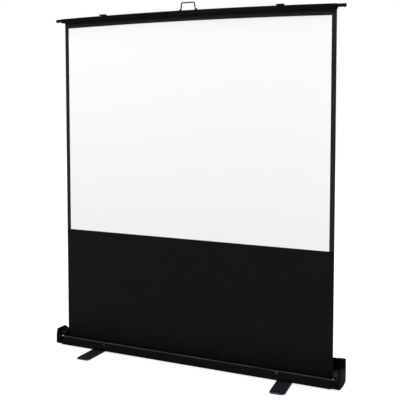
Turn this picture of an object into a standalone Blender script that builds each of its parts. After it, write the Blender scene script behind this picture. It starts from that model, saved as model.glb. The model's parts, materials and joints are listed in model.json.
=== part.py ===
"""Pull up projection screen for the floor, 80 inch, with a telescopic mast behind it.

Metres, +Z up, +X to the right and the viewing side towards -Y. The origin lies on the floor,
in the plane of the fabric, midway between the two feet. The model stands as in use: screen
pulled up, mast raised, feet turned out. Every piece is one object, and the pieces that move
hang from an empty on their joint's axis.
"""

import math

import bmesh
import bpy
from mathutils import Vector

# Fits and counts

FIT = 0.0003
RUNNING = 0.0006
OVERRUN = 0.003
ROUND_SIDES = 28
SMALL_SIDES = 16
ARC_STEPS = 4

# Viewing surface and fabric

VIEW_WIDTH = 1.626
VIEW_HEIGHT = 1.219
VIEW_BOTTOM = 0.719
SIDE_BORDER = 0.0265
TOP_BORDER = 0.031
FABRIC_THICKNESS = 0.0006
FACE_THICKNESS = 0.0005
FABRIC_STATIONS = 16

# Top bar, its end pins and its bow under the pull of the fabric

BAR_HEIGHT = 0.025
BAR_DEPTH = 0.040
BAR_AHEAD = 0.034
BAR_WALL = 0.002
BAR_SLOT = 0.003
BAR_BOW = 0.010
BAR_STATIONS = 16
BAR_PLUG_THICKNESS = 0.003
NECK_LENGTH = 0.032
NECK_DIAMETER = 0.014
KNOB_LENGTH = 0.016
KNOB_DIAMETER = 0.0195
KNOB_ROUNDING = 0.0025
SPLINE_WIDTH = 0.007
SPLINE_THICKNESS = 0.003

# Case: a tray with a low front lip, a cover over the roller and a tall rear wall

PAD_THICKNESS = 0.003
FOOT_THICKNESS = 0.005
WASHER_THICKNESS = 0.0012
CASE_FRONT = 0.062
CASE_REAR = 0.092
TRAY_FLOOR = 0.003
CASE_WALL = 0.0025
PLINTH_HEIGHT = 0.008
GROOVE_DEPTH = 0.002
GROOVE_HEIGHT = 0.0035
RIDGE_HEIGHT = 0.048
RIDGE_SETBACK = 0.017
RIDGE_CHAMFER = 0.003
DECK_DROP = 0.004
SLOT_FRONT = 0.006
SLOT_REAR = 0.0045
COVER_HEIGHT = 0.0715
COVER_LIP = 0.0175
COVER_REAR = 0.0525
COVER_FLANGE = 0.0115
REAR_HEIGHT = 0.1195
REAR_FLANGE = 0.014
REAR_BEAD = 0.0008
REAR_BEAD_HEIGHT = 0.004
CAP_SEAT = 0.0065

# End caps

CAP_WIDTH = 0.046
CAP_RIM = 0.012
CAP_BULGE = 0.0595
CAP_UNDERCUT = 0.007
CAP_SHOULDER = 0.0895
CAP_SHOULDER_FRONT = 0.045
CAP_SHOULDER_REAR = 0.031
CAP_SCOOP_DROP = 0.014
CAP_GROOVE = 0.006
CAP_STEP = 0.061
CAP_TOWER = 0.122
CAP_CORNER = 0.008
CAP_SWELL = 0.0012
CAP_REAR_TAPER = 0.006
CAP_SCREW_DIAMETER = 0.008
CAP_SCREW_HEIGHT = 0.0022
CAP_SCREW_INSET = 0.006

# Roller, its spring and its brackets

ROLLER_DIAMETER = 0.038
ROLLER_WALL = 0.0015
ROLLER_SETBACK = 0.0005
ROLLER_HEIGHT = 0.028
ROLL_BUILD = 0.0018
PLUG_LENGTH = 0.030
PLUG_FLANGE = 0.0015
PIN_DIAMETER = 0.008
BRACKET_WALL = 0.0027
BRACKET_HALF_WIDTH = 0.017
SPINDLE_DIAMETER = 0.010
SPINDLE_LENGTH = 0.300
SPRING_DIAMETER = 0.024
SPRING_WIRE = 0.0024
SPRING_TURNS = 18
SPRING_STEPS = 10

# Feet

FOOT_INSET = 0.261
FOOT_LENGTH = 0.462
FOOT_WIDTH = 0.087
FOOT_ROUNDING = 0.022
FOOT_EDGE = 0.0015
RIGHT_TOE_OUT = math.radians(6.0)
PAD_LENGTH = 0.066
PAD_WIDTH = 0.018
PAD_INSET = 0.022
PIVOT_DIAMETER = 0.010
PIVOT_HEAD = 0.018
PIVOT_HEAD_HEIGHT = 0.0018
WASHER_DIAMETER = 0.040

# Latches between the bar and the case

LATCH_INSET = 0.2935
LATCH_LUG_SPACING = 0.028
LATCH_LUG_WIDTH = 0.011
LATCH_LUG_HEIGHT = 0.0062
LATCH_LUG_REACH = 0.004
LATCH_LUG_REST = 0.010
LATCH_PLATE_DEPTH = 0.022
LATCH_PLATE = 0.0015
LATCH_PIN_DIAMETER = 0.003
LATCH_PIVOT_RISE = 0.0033
LATCH_PIVOT_AHEAD = 0.010
STRAP_WIDTH = 0.015
STRAP_THICKNESS = 0.0022
STRAP_LENGTH = 0.0834
STRAP_NOSE = 0.0035
KEEPER_WIDTH = 0.016
KEEPER_THICKNESS = 0.0022
KEEPER_DROP = 0.017
KEEPER_BACK = 0.010
KEEPER_TAB_DROP = 0.0064
KEEPER_TAB_REACH = 0.0056

# Bail handle

BAIL_BASE = 0.088
BAIL_TOP = 0.079
BAIL_HEIGHT = 0.038
BAIL_WIRE = 0.005
BAIL_CORNER = 0.012
BAIL_LEAN = math.radians(6.0)
BAIL_TAIL = 0.009
BAIL_RISE = 0.0045
EAR_WIDTH = 0.006
EAR_LENGTH = 0.014
EAR_HEIGHT = 0.0085

# Mast

MAST_BEHIND = 0.071
MAST_HINGE_HEIGHT = 0.098
MAST_OUTER_DIAMETER = 0.028
MAST_OUTER_WALL = 0.0015
MAST_OUTER_TOP = 0.820
MAST_OUTER_START = 0.0165
MAST_STEP = 0.0019
MAST_TUBE_WALL = 0.0014
MAST_OVERLAP = 0.115
MAST_ROOT_WIDTH = 0.028
MAST_ROOT_RADIUS = 0.013
MAST_PLUG_LENGTH = 0.030
MAST_PIN_DIAMETER = 0.008
MAST_PIN_HEAD = 0.0012
HINGE_WIDTH = 0.040
HINGE_WALL = 0.0025
HINGE_RISE = 0.013
COLLAR_GRIP = 0.024
COLLAR_LIP = 0.008
COLLAR_WALL = 0.0027
COLLAR_GAP = 0.001
FORK_REACH = 0.009
FORK_WIDTH = 0.017
FORK_HEIGHT = 0.014
LEVER_WIDTH = 0.0085
LEVER_EYE = 0.0042
LEVER_LENGTH = 0.044
LEVER_THICKNESS = 0.004
LEVER_CLEAR = 0.0009
LEVER_PIN_DIAMETER = 0.004

# Mast head with its folding tongue, and the bracket on the bar that rests on it

HEAD_BELOW_BAR = 0.005
HEAD_WIDTH = 0.026
HEAD_HEIGHT = 0.0135
HEAD_REAR = 0.013
HEAD_PLUG = 0.022
TONGUE_PIVOT_AHEAD = 0.0205
TONGUE_WIDTH = 0.014
TONGUE_EYE = 0.0038
TONGUE_THICKNESS = 0.005
TONGUE_REACH = 0.0225
TONGUE_PAD_LENGTH = 0.0113
TONGUE_PAD_RISE = 0.005
TONGUE_PIN_DIAMETER = 0.003
LIFT_WIDTH = 0.044
LIFT_WALL = 0.0025
LIFT_SHELF_RISE = 0.010
LIFT_LIP = 0.005
LIFT_LIP_CLEAR = 0.0008

# Places worked out from the sizes above

fabric_half = VIEW_WIDTH / 2 + SIDE_BORDER
view_top = VIEW_BOTTOM + VIEW_HEIGHT
bar_bottom = view_top + TOP_BORDER
bar_front = -BAR_AHEAD
bar_rear = BAR_DEPTH - BAR_AHEAD
bar_middle = (bar_front + bar_rear) / 2
bar_half = fabric_half + FIT
foot_bottom = PAD_THICKNESS + FIT
washer_bottom = foot_bottom + FOOT_THICKNESS + FIT
case_bottom = washer_bottom + WASHER_THICKNESS + FIT
floor_top = case_bottom + TRAY_FLOOR
flange_bottom = floor_top + FIT
flange_top = flange_bottom + CASE_WALL
case_half = fabric_half + CAP_SEAT
roller_axis = (ROLLER_DIAMETER / 2 + ROLL_BUILD + ROLLER_SETBACK, floor_top + ROLLER_HEIGHT)
bracket_inner = case_half - FIT - BRACKET_WALL
roller_half = bracket_inner - RUNNING - PLUG_FLANGE
foot_x = case_half - FOOT_INSET
latch_x = fabric_half - LATCH_INSET
mast_hinge = Vector((0.0, MAST_BEHIND, MAST_HINGE_HEIGHT))
head_bottom = bar_bottom + BAR_BOW - HEAD_BELOW_BAR
stacked_collars = 2 * (COLLAR_LIP + COLLAR_GAP) + COLLAR_GRIP
mast_stage = (head_bottom - MAST_OUTER_TOP - stacked_collars) / 2
lower_collar_top = MAST_OUTER_TOP + COLLAR_LIP
middle_top = lower_collar_top + COLLAR_GAP + COLLAR_GRIP + mast_stage
tongue_pivot = Vector((0.0, MAST_BEHIND - TONGUE_PIVOT_AHEAD, head_bottom + HEAD_HEIGHT / 2))
shelf_bottom = tongue_pivot.z + TONGUE_THICKNESS / 2 + TONGUE_PAD_RISE + FIT


def bar_drop(x):
    """How far the bowed bar lies below its highest point at x."""
    return BAR_BOW * (x / fabric_half) ** 2


def bar_base(x):
    """Height of the bar's underside at x: its ends lie at bar_bottom."""
    return bar_bottom + BAR_BOW - bar_drop(x)


def material(name, colour, roughness, metallic=0.0):
    made = bpy.data.materials.new(name)
    made.use_nodes = True
    shader = made.node_tree.nodes["Principled BSDF"]
    shader.inputs["Base Color"].default_value = (*colour, 1.0)
    shader.inputs["Roughness"].default_value = roughness
    shader.inputs["Metallic"].default_value = metallic
    made.diffuse_color = (*colour, 1.0)
    return made


def spot(axis, along, across, up):
    """A point given by its place along an axis and by the two other coordinates in order."""
    return {
        "X": Vector((along, across, up)),
        "Y": Vector((across, along, up)),
        "Z": Vector((across, up, along)),
    }[axis]


def loft(rings, closed=False):
    """A mesh skinned over rings of points. Open lofts get flat ends, closed ones join up."""
    mesh = bmesh.new()
    rows = [[mesh.verts.new(point) for point in points] for points in rings]
    pairs = list(zip(rows, rows[1:]))
    if closed:
        pairs.append((rows[-1], rows[0]))
    else:
        mesh.faces.new(rows[0])
        mesh.faces.new(rows[-1])
    for first, second in pairs:
        for i, vert in enumerate(first):
            j = (i + 1) % len(first)
            mesh.faces.new((vert, first[j], second[j], second[i]))
    bmesh.ops.recalc_face_normals(mesh, faces=mesh.faces)
    return mesh


def prism(outline, axis, start, end):
    """An outline swept straight along an axis."""
    return loft([[spot(axis, along, u, v) for u, v in outline] for along in (start, end)])


def circle(axis, along, centre, radius, sides=ROUND_SIDES):
    turns = [2 * math.pi * i / sides for i in range(sides)]
    across, up = centre
    return [
        spot(axis, along, across + radius * math.cos(t), up + radius * math.sin(t)) for t in turns
    ]


def turned(axis, centre, profile, sides=ROUND_SIDES, closed=False):
    """A turned piece from (radius, place along the axis) pairs; closed ones have a bore."""
    return loft([circle(axis, along, centre, r, sides) for r, along in profile], closed)


def sleeve(axis, centre, outer, inner, start, end, sides=ROUND_SIDES):
    profile = [(outer, start), (outer, end), (inner, end), (inner, start)]
    return turned(axis, centre, profile, sides, closed=True)


def box(low, high):
    outline = [(low[1], low[2]), (high[1], low[2]), (high[1], high[2]), (low[1], high[2])]
    return prism(outline, "X", low[0], high[0])


def rounded(outline, radii, steps=ARC_STEPS):
    """The outline with its corners rounded, one radius for each corner, zero for a sharp one."""
    made = []
    for i, (corner, radius) in enumerate(zip(outline, radii)):
        corner = Vector(corner)
        if not radius:
            made.append(tuple(corner))
            continue
        before = (Vector(outline[i - 1]) - corner).normalized()
        after = (Vector(outline[(i + 1) % len(outline)]) - corner).normalized()
        half = before.angle(after) / 2
        reach = radius / math.tan(half)
        centre = corner + (before + after).normalized() * radius / math.sin(half)
        start = corner + before * reach - centre
        sweep = start.angle_signed(corner + after * reach - centre)
        for step in range(steps + 1):
            turn = -sweep * step / steps
            cos, sin = math.cos(turn), math.sin(turn)
            offset = (start.x * cos - start.y * sin, start.x * sin + start.y * cos)
            made.append((centre.x + offset[0], centre.y + offset[1]))
    return made


def offset_path(points, distance):
    """An open path moved sideways, to the left of its direction, with mitred corners."""
    points = [Vector(point) for point in points]
    normals = []
    for first, second in zip(points, points[1:]):
        run = (second - first).normalized()
        normals.append(Vector((-run.y, run.x)))
    made = [points[0] + normals[0] * distance]
    for point, one, two in zip(points[1:], normals, normals[1:]):
        bisector = (one + two).normalized()
        made.append(point + bisector * distance / bisector.dot(one))
    made.append(points[-1] + normals[-1] * distance)
    return [tuple(point) for point in made]


def pivot(name, at, parent=None, turn=0.0):
    """An empty on a joint's axis, which carries the pieces that move with it."""
    made = bpy.data.objects.new(name, None)
    bpy.context.scene.collection.objects.link(made)
    made.empty_display_size = PIVOT_HEAD
    made["at"] = Vector(at)
    made.rotation_euler.z = turn
    made.parent = parent
    made.location = Vector(at) - (Vector(parent["at"]) if parent else Vector())
    return made


def piece(name, mesh, finish, parent=None, smooth=True):
    """A named object from a mesh in world places, with its origin at its parent's."""
    origin = Vector(parent["at"]) if parent else Vector()
    bmesh.ops.translate(mesh, verts=mesh.verts, vec=-origin)
    data = bpy.data.meshes.new(name)
    mesh.to_mesh(data)
    mesh.free()
    data.materials.append(finish)
    if smooth:
        data.shade_smooth()
        data.set_sharp_from_angle(angle=math.radians(35.0))
    made = bpy.data.objects.new(name, data)
    bpy.context.scene.collection.objects.link(made)
    made.parent = parent
    return made


def combine(target, mesh, operation):
    """Joins a helper solid to a piece, or cuts it away, by a Boolean modifier."""
    label = f"{target.name}_{operation.lower()}_{len(target.modifiers)}"
    tool = piece(label, mesh, target.data.materials[0], target.parent)
    tool.hide_render = True
    tool.display_type = "WIRE"
    modifier = target.modifiers.new(label, "BOOLEAN")
    modifier.object = tool
    modifier.operation = operation
    modifier.solver = "EXACT"
    return target


def mirrored(x, side):
    return x * side


def side_name(side):
    return "left" if side < 0 else "right"


def tray_front_path():
    """The tray's front, from above the groove over the ridge to the slot, as (y, z) pairs."""
    groove_top = case_bottom + PLINTH_HEIGHT + GROOVE_HEIGHT
    ridge_y = RIDGE_SETBACK - CASE_FRONT
    ridge_z = case_bottom + RIDGE_HEIGHT
    return [
        (GROOVE_DEPTH / 2 - CASE_FRONT, groove_top),
        (ridge_y - RIDGE_CHAMFER, ridge_z - RIDGE_CHAMFER),
        (ridge_y, ridge_z - RIDGE_CHAMFER / 3),
        (ridge_y + RIDGE_CHAMFER, ridge_z),
        (-SLOT_FRONT, ridge_z - DECK_DROP),
    ]


def base_tray(finish):
    path = tray_front_path()
    inner = offset_path(path, -CASE_WALL)
    groove_y = GROOVE_DEPTH - CASE_FRONT
    outline = [
        (-CASE_FRONT, case_bottom),
        (-CASE_FRONT, case_bottom + PLINTH_HEIGHT),
        (groove_y, case_bottom + PLINTH_HEIGHT),
        (groove_y, path[0][1]),
        *path,
        *reversed(inner),
        (inner[0][0], floor_top),
        (CASE_REAR, floor_top),
        (CASE_REAR, case_bottom),
    ]
    tray = piece("base_tray", prism(outline, "X", -case_half, case_half), finish)
    hole = PIVOT_DIAMETER / 2 + FIT
    for side in (-1, 1):
        profile = [(hole, case_bottom - OVERRUN), (hole, floor_top + OVERRUN)]
        combine(tray, turned("Z", (mirrored(foot_x, side), 0.0), profile), "DIFFERENCE")
    return tray


def roller_cover(finish):
    top = case_bottom + COVER_HEIGHT
    lip = SLOT_REAR + CASE_WALL
    outline = [
        (SLOT_REAR, top - COVER_LIP),
        (SLOT_REAR, top),
        (COVER_REAR, top),
        (COVER_REAR, flange_top),
        (COVER_REAR + COVER_FLANGE, flange_top),
        (COVER_REAR + COVER_FLANGE, flange_bottom),
        (COVER_REAR - CASE_WALL, flange_bottom),
        (COVER_REAR - CASE_WALL, top - CASE_WALL),
        (lip, top - CASE_WALL),
        (lip, top - COVER_LIP),
    ]
    radii = [0, CASE_WALL, CASE_WALL, 0, 0, 0, 0, 0, 0, 0]
    outline = rounded(outline, radii)
    return piece("roller_cover", prism(outline, "X", -case_half, case_half), finish)


def rear_housing(finish):
    top = case_bottom + REAR_HEIGHT
    inner = CASE_REAR - CASE_WALL
    bead = inner - REAR_BEAD
    outline = [
        (CASE_REAR, flange_bottom),
        (CASE_REAR, top),
        (bead, top),
        (bead, top - REAR_BEAD_HEIGHT),
        (inner, top - REAR_BEAD_HEIGHT),
        (inner, flange_top),
        (CASE_REAR - REAR_FLANGE, flange_top),
        (CASE_REAR - REAR_FLANGE, flange_bottom),
    ]
    outline = rounded(outline, [0, CASE_WALL / 2, REAR_BEAD, 0, 0, 0, 0, 0])
    return piece("rear_housing", prism(outline, "X", -case_half, case_half), finish)


def cap_front():
    """The front of both cap outlines, from the underside up to the bulge, as (y, z) pairs."""
    return [
        (CAP_UNDERCUT - CAP_BULGE, case_bottom),
        (-CAP_BULGE, case_bottom + CAP_UNDERCUT),
    ]


def cap_rear(step_z, tall):
    """The rear of both cap outlines, from the step behind the shoulder to the underside."""
    step_y = CASE_REAR - REAR_FLANGE * 2
    lower = case_bottom + CAP_STEP
    if not tall:
        return [(step_y, step_z), (CASE_REAR, lower), (CASE_REAR, case_bottom)]
    top = case_bottom + CAP_TOWER
    return [(step_y, step_z), (step_y, top), (CASE_REAR, top), (CASE_REAR, case_bottom)]


def end_cap(side, finish):
    """A moulded cap with a thin outer rim and a scooped top; the right one has a tall rear."""
    tall = side > 0
    inner = case_half + FIT
    outer = case_half + CAP_WIDTH
    rim_start = outer - CAP_RIM
    shoulder = case_bottom + CAP_SHOULDER
    lower = case_bottom + CAP_STEP
    rim = [
        *cap_front(),
        (-CAP_BULGE, case_bottom + RIDGE_HEIGHT - CAP_UNDERCUT),
        (-CAP_SHOULDER_FRONT, shoulder),
        (CAP_SHOULDER_REAR, shoulder),
        *cap_rear(lower, tall),
    ]
    rim_radii = [CAP_CORNER / 2, CAP_CORNER / 2, CAP_CORNER, CAP_CORNER / 2, CAP_CORNER / 2]
    rim_radii += [0, CAP_CORNER / 2, CAP_CORNER / 2, 0][: len(rim) - len(rim_radii)]
    ridge = case_bottom + RIDGE_HEIGHT
    ridge_y = RIDGE_SETBACK - CASE_FRONT
    scoop = shoulder - CAP_SCOOP_DROP
    body = [
        *cap_front(),
        (-CAP_BULGE, ridge - CAP_UNDERCUT - RIDGE_CHAMFER),
        (ridge_y - RIDGE_CHAMFER, ridge - RIDGE_CHAMFER / 2),
        (ridge_y + RIDGE_CHAMFER, ridge),
        (ridge_y + RIDGE_CHAMFER + CAP_GROOVE, ridge - CAP_GROOVE),
        (0.0, scoop),
        (CAP_SHOULDER_REAR, scoop),
        *cap_rear(lower, tall),
    ]
    body_radii = [CAP_CORNER / 2, CAP_CORNER / 2, 0, 0, 0, 0, CAP_CORNER, CAP_CORNER / 2]
    body_radii += [0] * (len(body) - len(body_radii))
    ends = [mirrored(x, side) for x in (inner, rim_start + OVERRUN)]
    cap = piece(f"end_cap_{side_name(side)}", prism(rounded(body, body_radii), "X", *ends), finish)
    ends = [mirrored(x, side) for x in (rim_start, outer + OVERRUN)]
    combine(cap, prism(rounded(rim, rim_radii), "X", *ends), "UNION")
    combine(cap, cap_plan(side, inner, outer), "INTERSECT")
    if tall:
        combine(cap, cap_face(side, inner, outer), "INTERSECT")
    return cap


def cap_plan(side, inner, outer):
    """A cap's outline from above, swollen outward in the middle and drawn in at the rear."""
    front, rear = -CAP_BULGE - OVERRUN, CASE_REAR + OVERRUN
    middle = (front + rear) / 2
    plan = [
        (inner, front),
        (outer, front),
        (outer + CAP_SWELL, middle),
        (outer - CAP_REAR_TAPER, rear),
        (inner, rear),
    ]
    plan = rounded(plan, [0, CAP_CORNER * 3 / 2, CAP_WIDTH * 4, CAP_CORNER, 0])
    plan = [(mirrored(x, side), y) for x, y in plan]
    return prism(plan, "Z", case_bottom - OVERRUN, case_bottom + CAP_TOWER + OVERRUN)


def cap_face(side, inner, outer):
    """The tall cap's outline from the front, with its outer top corner rounded."""
    low, high = case_bottom - OVERRUN, case_bottom + CAP_TOWER
    reach = outer + CAP_SWELL - CAP_REAR_TAPER
    face = [(inner - OVERRUN, low), (reach + CAP_REAR_TAPER + OVERRUN, low),
            (reach + CAP_REAR_TAPER + OVERRUN, high - CAP_CORNER * 2),
            (reach, high), (inner - OVERRUN, high)]
    face = rounded(face, [0, 0, CAP_CORNER, CAP_CORNER, 0])
    face = [(mirrored(x, side), z) for x, z in face]
    return prism(face, "Y", -CAP_BULGE - OVERRUN, CASE_REAR + OVERRUN)


def cap_screw(side, finish):
    """The bright round head on the ridge where a cap is screwed to the tray."""
    radius = CAP_SCREW_DIAMETER / 2
    x = mirrored(case_half + CAP_SCREW_INSET, side)
    y = RIDGE_SETBACK - CASE_FRONT
    base = case_bottom + RIDGE_HEIGHT + FIT
    profile = [
        (radius, base),
        (radius, base + CAP_SCREW_HEIGHT / 3),
        (radius * 2 / 3, base + CAP_SCREW_HEIGHT),
    ]
    mesh = turned("Z", (x, y + RIDGE_CHAMFER), profile, SMALL_SIDES)
    return piece(f"cap_screw_{side_name(side)}", mesh, finish)


def roller_bracket(side, finish):
    """A plate inside the end cap that carries one end of the roller."""
    centre_y, centre_z = roller_axis
    half = BRACKET_HALF_WIDTH
    outline = [
        (centre_y - half, flange_bottom),
        (centre_y + half, flange_bottom),
        (centre_y + half, centre_z + half),
        (centre_y - half, centre_z + half),
    ]
    outline = rounded(outline, [0, 0, half * 2 / 3, half * 2 / 3])
    ends = [mirrored(x, side) for x in (bracket_inner, bracket_inner + BRACKET_WALL)]
    made = piece(f"roller_bracket_{side_name(side)}", prism(outline, "X", *ends), finish)
    bore = (SPINDLE_DIAMETER if side > 0 else PIN_DIAMETER) / 2 + FIT
    ends = [mirrored(x, side) for x in (bracket_inner - OVERRUN, case_half + OVERRUN)]
    return combine(made, turned("X", roller_axis, [(bore, x) for x in ends]), "DIFFERENCE")


def roller(frame, finishes):
    """The tube with its two plugs and the fabric still wound on it."""
    outer = ROLLER_DIAMETER / 2
    bore = outer - ROLLER_WALL
    tube = sleeve("X", roller_axis, outer, bore, -roller_half, roller_half)
    piece("roller_tube", tube, finishes["aluminium"], frame)
    wound = outer + ROLL_BUILD
    start = outer + FIT
    roll = sleeve("X", roller_axis, wound, start, -fabric_half, fabric_half)
    piece("fabric_roll", roll, finishes["black_fabric"], frame)
    seat = bore - FIT
    flange = roller_half + FIT + PLUG_FLANGE
    pin = PIN_DIAMETER / 2
    profile = [
        (seat, PLUG_LENGTH - roller_half),
        (seat, -roller_half - FIT),
        (outer, -roller_half - FIT),
        (outer, -flange),
        (pin, -flange),
        (pin, -case_half),
    ]
    piece("roller_plug_left", turned("X", roller_axis, profile), finishes["black_plastic"], frame)
    hole = SPINDLE_DIAMETER / 2 + FIT
    profile = [
        (seat, roller_half - PLUG_LENGTH),
        (seat, roller_half + FIT),
        (outer, roller_half + FIT),
        (outer, flange),
        (hole, flange),
        (hole, roller_half - PLUG_LENGTH),
    ]
    plug = turned("X", roller_axis, profile, closed=True)
    piece("roller_plug_right", plug, finishes["black_plastic"], frame)


def spring_spindle(finish):
    """The fixed shaft that the spring turns about, held in the right bracket."""
    radius = SPINDLE_DIAMETER / 2
    profile = [(radius, case_half - FIT - SPINDLE_LENGTH), (radius, case_half - FIT)]
    return piece("spring_spindle", turned("X", roller_axis, profile, SMALL_SIDES), finish)


def spring(frame, finish):
    """The torsion spring between the spindle and the tube, as one unbroken wire."""
    end = roller_half - PLUG_LENGTH - SPRING_WIRE / 2 - FIT
    start = case_half - SPINDLE_LENGTH + SPRING_WIRE
    centre_y, centre_z = roller_axis
    radius = SPRING_DIAMETER / 2 - SPRING_WIRE
    origin = Vector(frame["at"])
    curve = bpy.data.curves.new("return_spring", "CURVE")
    curve.dimensions = "3D"
    curve.bevel_depth = SPRING_WIRE / 2
    curve.bevel_resolution = 1
    curve.use_fill_caps = True
    count = SPRING_TURNS * SPRING_STEPS + 1
    line = curve.splines.new("POLY")
    line.points.add(count - 1)
    for i, point in enumerate(line.points):
        turn = 2 * math.pi * i / SPRING_STEPS
        x = start + (end - start) * i / (count - 1)
        y = centre_y + radius * math.cos(turn)
        z = centre_z + radius * math.sin(turn)
        point.co = (*(Vector((x, y, z)) - origin), 1.0)
    curve.materials.append(finish)
    made = bpy.data.objects.new("return_spring", curve)
    bpy.context.scene.collection.objects.link(made)
    made.parent = frame
    return made


def sheet_mesh(half_width, front, rear, bottom, top_at):
    """A thin upright sheet whose top edge follows the bow of the bar."""
    rings = []
    for i in range(FABRIC_STATIONS + 1):
        x = half_width * (2 * i / FABRIC_STATIONS - 1)
        top = top_at(x)
        rings.append([spot("X", x, y, z) for y, z in
                      ((front, bottom), (rear, bottom), (rear, top), (front, top))])
    return loft(rings)


def fabric(finishes):
    """The black fabric from the roll to the bar and the white surface on its front."""
    front = -FABRIC_THICKNESS / 2
    rear = FABRIC_THICKNESS / 2
    mesh = sheet_mesh(fabric_half, front, rear, roller_axis[1], lambda x: bar_base(x) + BAR_WALL)
    piece("fabric_sheet", mesh, finishes["black_fabric"], smooth=False)
    face_rear = front - FIT
    face_front = face_rear - FACE_THICKNESS
    mesh = sheet_mesh(
        VIEW_WIDTH / 2,
        face_front,
        face_rear,
        VIEW_BOTTOM,
        lambda x: bar_base(x) - TOP_BORDER,
    )
    piece("white_surface", mesh, finishes["white_fabric"], smooth=False)


def top_bar(frame, finish):
    """A bowed extrusion, open below in a slot that takes the edge of the fabric."""
    rings = []
    slot = BAR_SLOT / 2
    for i in range(BAR_STATIONS + 1):
        x = bar_half * (2 * i / BAR_STATIONS - 1)
        low = bar_base(x)
        high = low + BAR_HEIGHT
        floor = low + BAR_WALL
        roof = high - BAR_WALL
        outline = [
            (-slot, low),
            (bar_front, low),
            (bar_front, high),
            (bar_rear, high),
            (bar_rear, low),
            (slot, low),
            (slot, floor),
            (bar_rear - BAR_WALL, floor),
            (bar_rear - BAR_WALL, roof),
            (bar_front + BAR_WALL, roof),
            (bar_front + BAR_WALL, floor),
            (-slot, floor),
        ]
        outline = rounded(outline, [0, 0, BAR_WALL, BAR_WALL, 0, 0, 0, 0, 0, 0, 0, 0], 2)
        rings.append([spot("X", x, y, z) for y, z in outline])
    return piece("top_bar", loft(rings), finish, frame)


def fabric_spline(frame, finish):
    """The strip inside the bar, on the lips of its slot, that the fabric's top edge hangs from."""
    half = SPLINE_WIDTH / 2
    rings = []
    for i in range(BAR_STATIONS + 1):
        x = (fabric_half - SIDE_BORDER / 2) * (2 * i / BAR_STATIONS - 1)
        low = bar_base(x) + BAR_WALL + FIT
        high = low + SPLINE_THICKNESS
        rings.append([spot("X", x, y, z) for y, z in
                      ((-half, low), (half, low), (half, high), (-half, high))])
    return piece("fabric_spline", loft(rings), finish, frame, smooth=False)


def bar_end(side, frame, finish):
    """The plate that closes the bar, with a neck and a round pin end flush with its top."""
    face = bar_half + FIT
    neck = face + BAR_PLUG_THICKNESS
    knob = neck + NECK_LENGTH
    tip = knob + KNOB_LENGTH
    top = bar_base(bar_half) + BAR_HEIGHT
    neck_radius = NECK_DIAMETER / 2
    knob_radius = KNOB_DIAMETER / 2
    end_radius = knob_radius - KNOB_ROUNDING
    stations = [
        (neck - BAR_PLUG_THICKNESS / 2, neck_radius, neck_radius),
        (knob, neck_radius, neck_radius),
        (knob, knob_radius, knob_radius),
        (tip - KNOB_ROUNDING, knob_radius, knob_radius),
        (tip, end_radius, knob_radius),
    ]
    rings = [
        circle("X", mirrored(x, side), (bar_middle, top - drop), radius)
        for x, radius, drop in stations
    ]
    low = bar_base(bar_half)
    outline = [(bar_front, low), (bar_rear, low), (bar_rear, top), (bar_front, top)]
    outline = rounded(outline, [BAR_WALL] * 4, 2)
    ends = [mirrored(x, side) for x in (face, neck)]
    made = piece(f"bar_end_{side_name(side)}", prism(outline, "X", *ends), finish, frame)
    return combine(made, loft(rings), "UNION")


def latch_hinge(side, frame, finish):
    """Two lugs on one small plate, on the front top edge of the bar."""
    centre = mirrored(latch_x, side)
    top = bar_base(centre + LATCH_LUG_SPACING / 2) + BAR_HEIGHT
    top = max(top, bar_base(centre - LATCH_LUG_SPACING / 2) + BAR_HEIGHT) + FIT
    half = (LATCH_LUG_SPACING + LATCH_LUG_WIDTH) / 2
    at = latch_pivot(side)
    front = at.y - LATCH_LUG_REACH
    rear = bar_front + LATCH_PLATE_DEPTH
    plate = [(bar_front, top), (rear, top), (rear, top + LATCH_PLATE),
             (bar_front, top + LATCH_PLATE)]
    made = piece(
        f"latch_hinge_{side_name(side)}",
        prism(plate, "X", centre - half, centre + half),
        finish,
        frame,
    )
    back = bar_front + LATCH_LUG_REST
    lug = [(front, top), (back, top), (back, top + LATCH_LUG_HEIGHT),
           (front, top + LATCH_LUG_HEIGHT)]
    lug = rounded(lug, [LATCH_PLATE, 0, LATCH_LUG_HEIGHT * 2 / 3, LATCH_LUG_REACH * 3 / 4])
    for offset in (-LATCH_LUG_SPACING / 2, LATCH_LUG_SPACING / 2):
        ends = (centre + offset - LATCH_LUG_WIDTH / 2, centre + offset + LATCH_LUG_WIDTH / 2)
        combine(made, prism(lug, "X", *ends), "UNION")
    bore = LATCH_PIN_DIAMETER / 2 + FIT
    profile = [(bore, centre - half - OVERRUN), (bore, centre + half + OVERRUN)]
    return combine(made, turned("X", (at.y, at.z), profile, SMALL_SIDES), "DIFFERENCE")


def latch_pivot(side):
    x = mirrored(latch_x, side)
    top = bar_base(latch_x - LATCH_LUG_SPACING / 2) + BAR_HEIGHT + FIT
    return Vector((x, bar_front - LATCH_PIVOT_AHEAD, top + LATCH_PIVOT_RISE))


def latch_pin(side, frame, finish):
    at = latch_pivot(side)
    half = (LATCH_LUG_SPACING + LATCH_LUG_WIDTH) / 2
    radius = LATCH_PIN_DIAMETER / 2
    profile = [(radius, at.x - half), (radius, at.x + half)]
    mesh = turned("X", (at.y, at.z), profile, SMALL_SIDES)
    return piece(f"latch_pin_{side_name(side)}", mesh, finish, frame)


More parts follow.
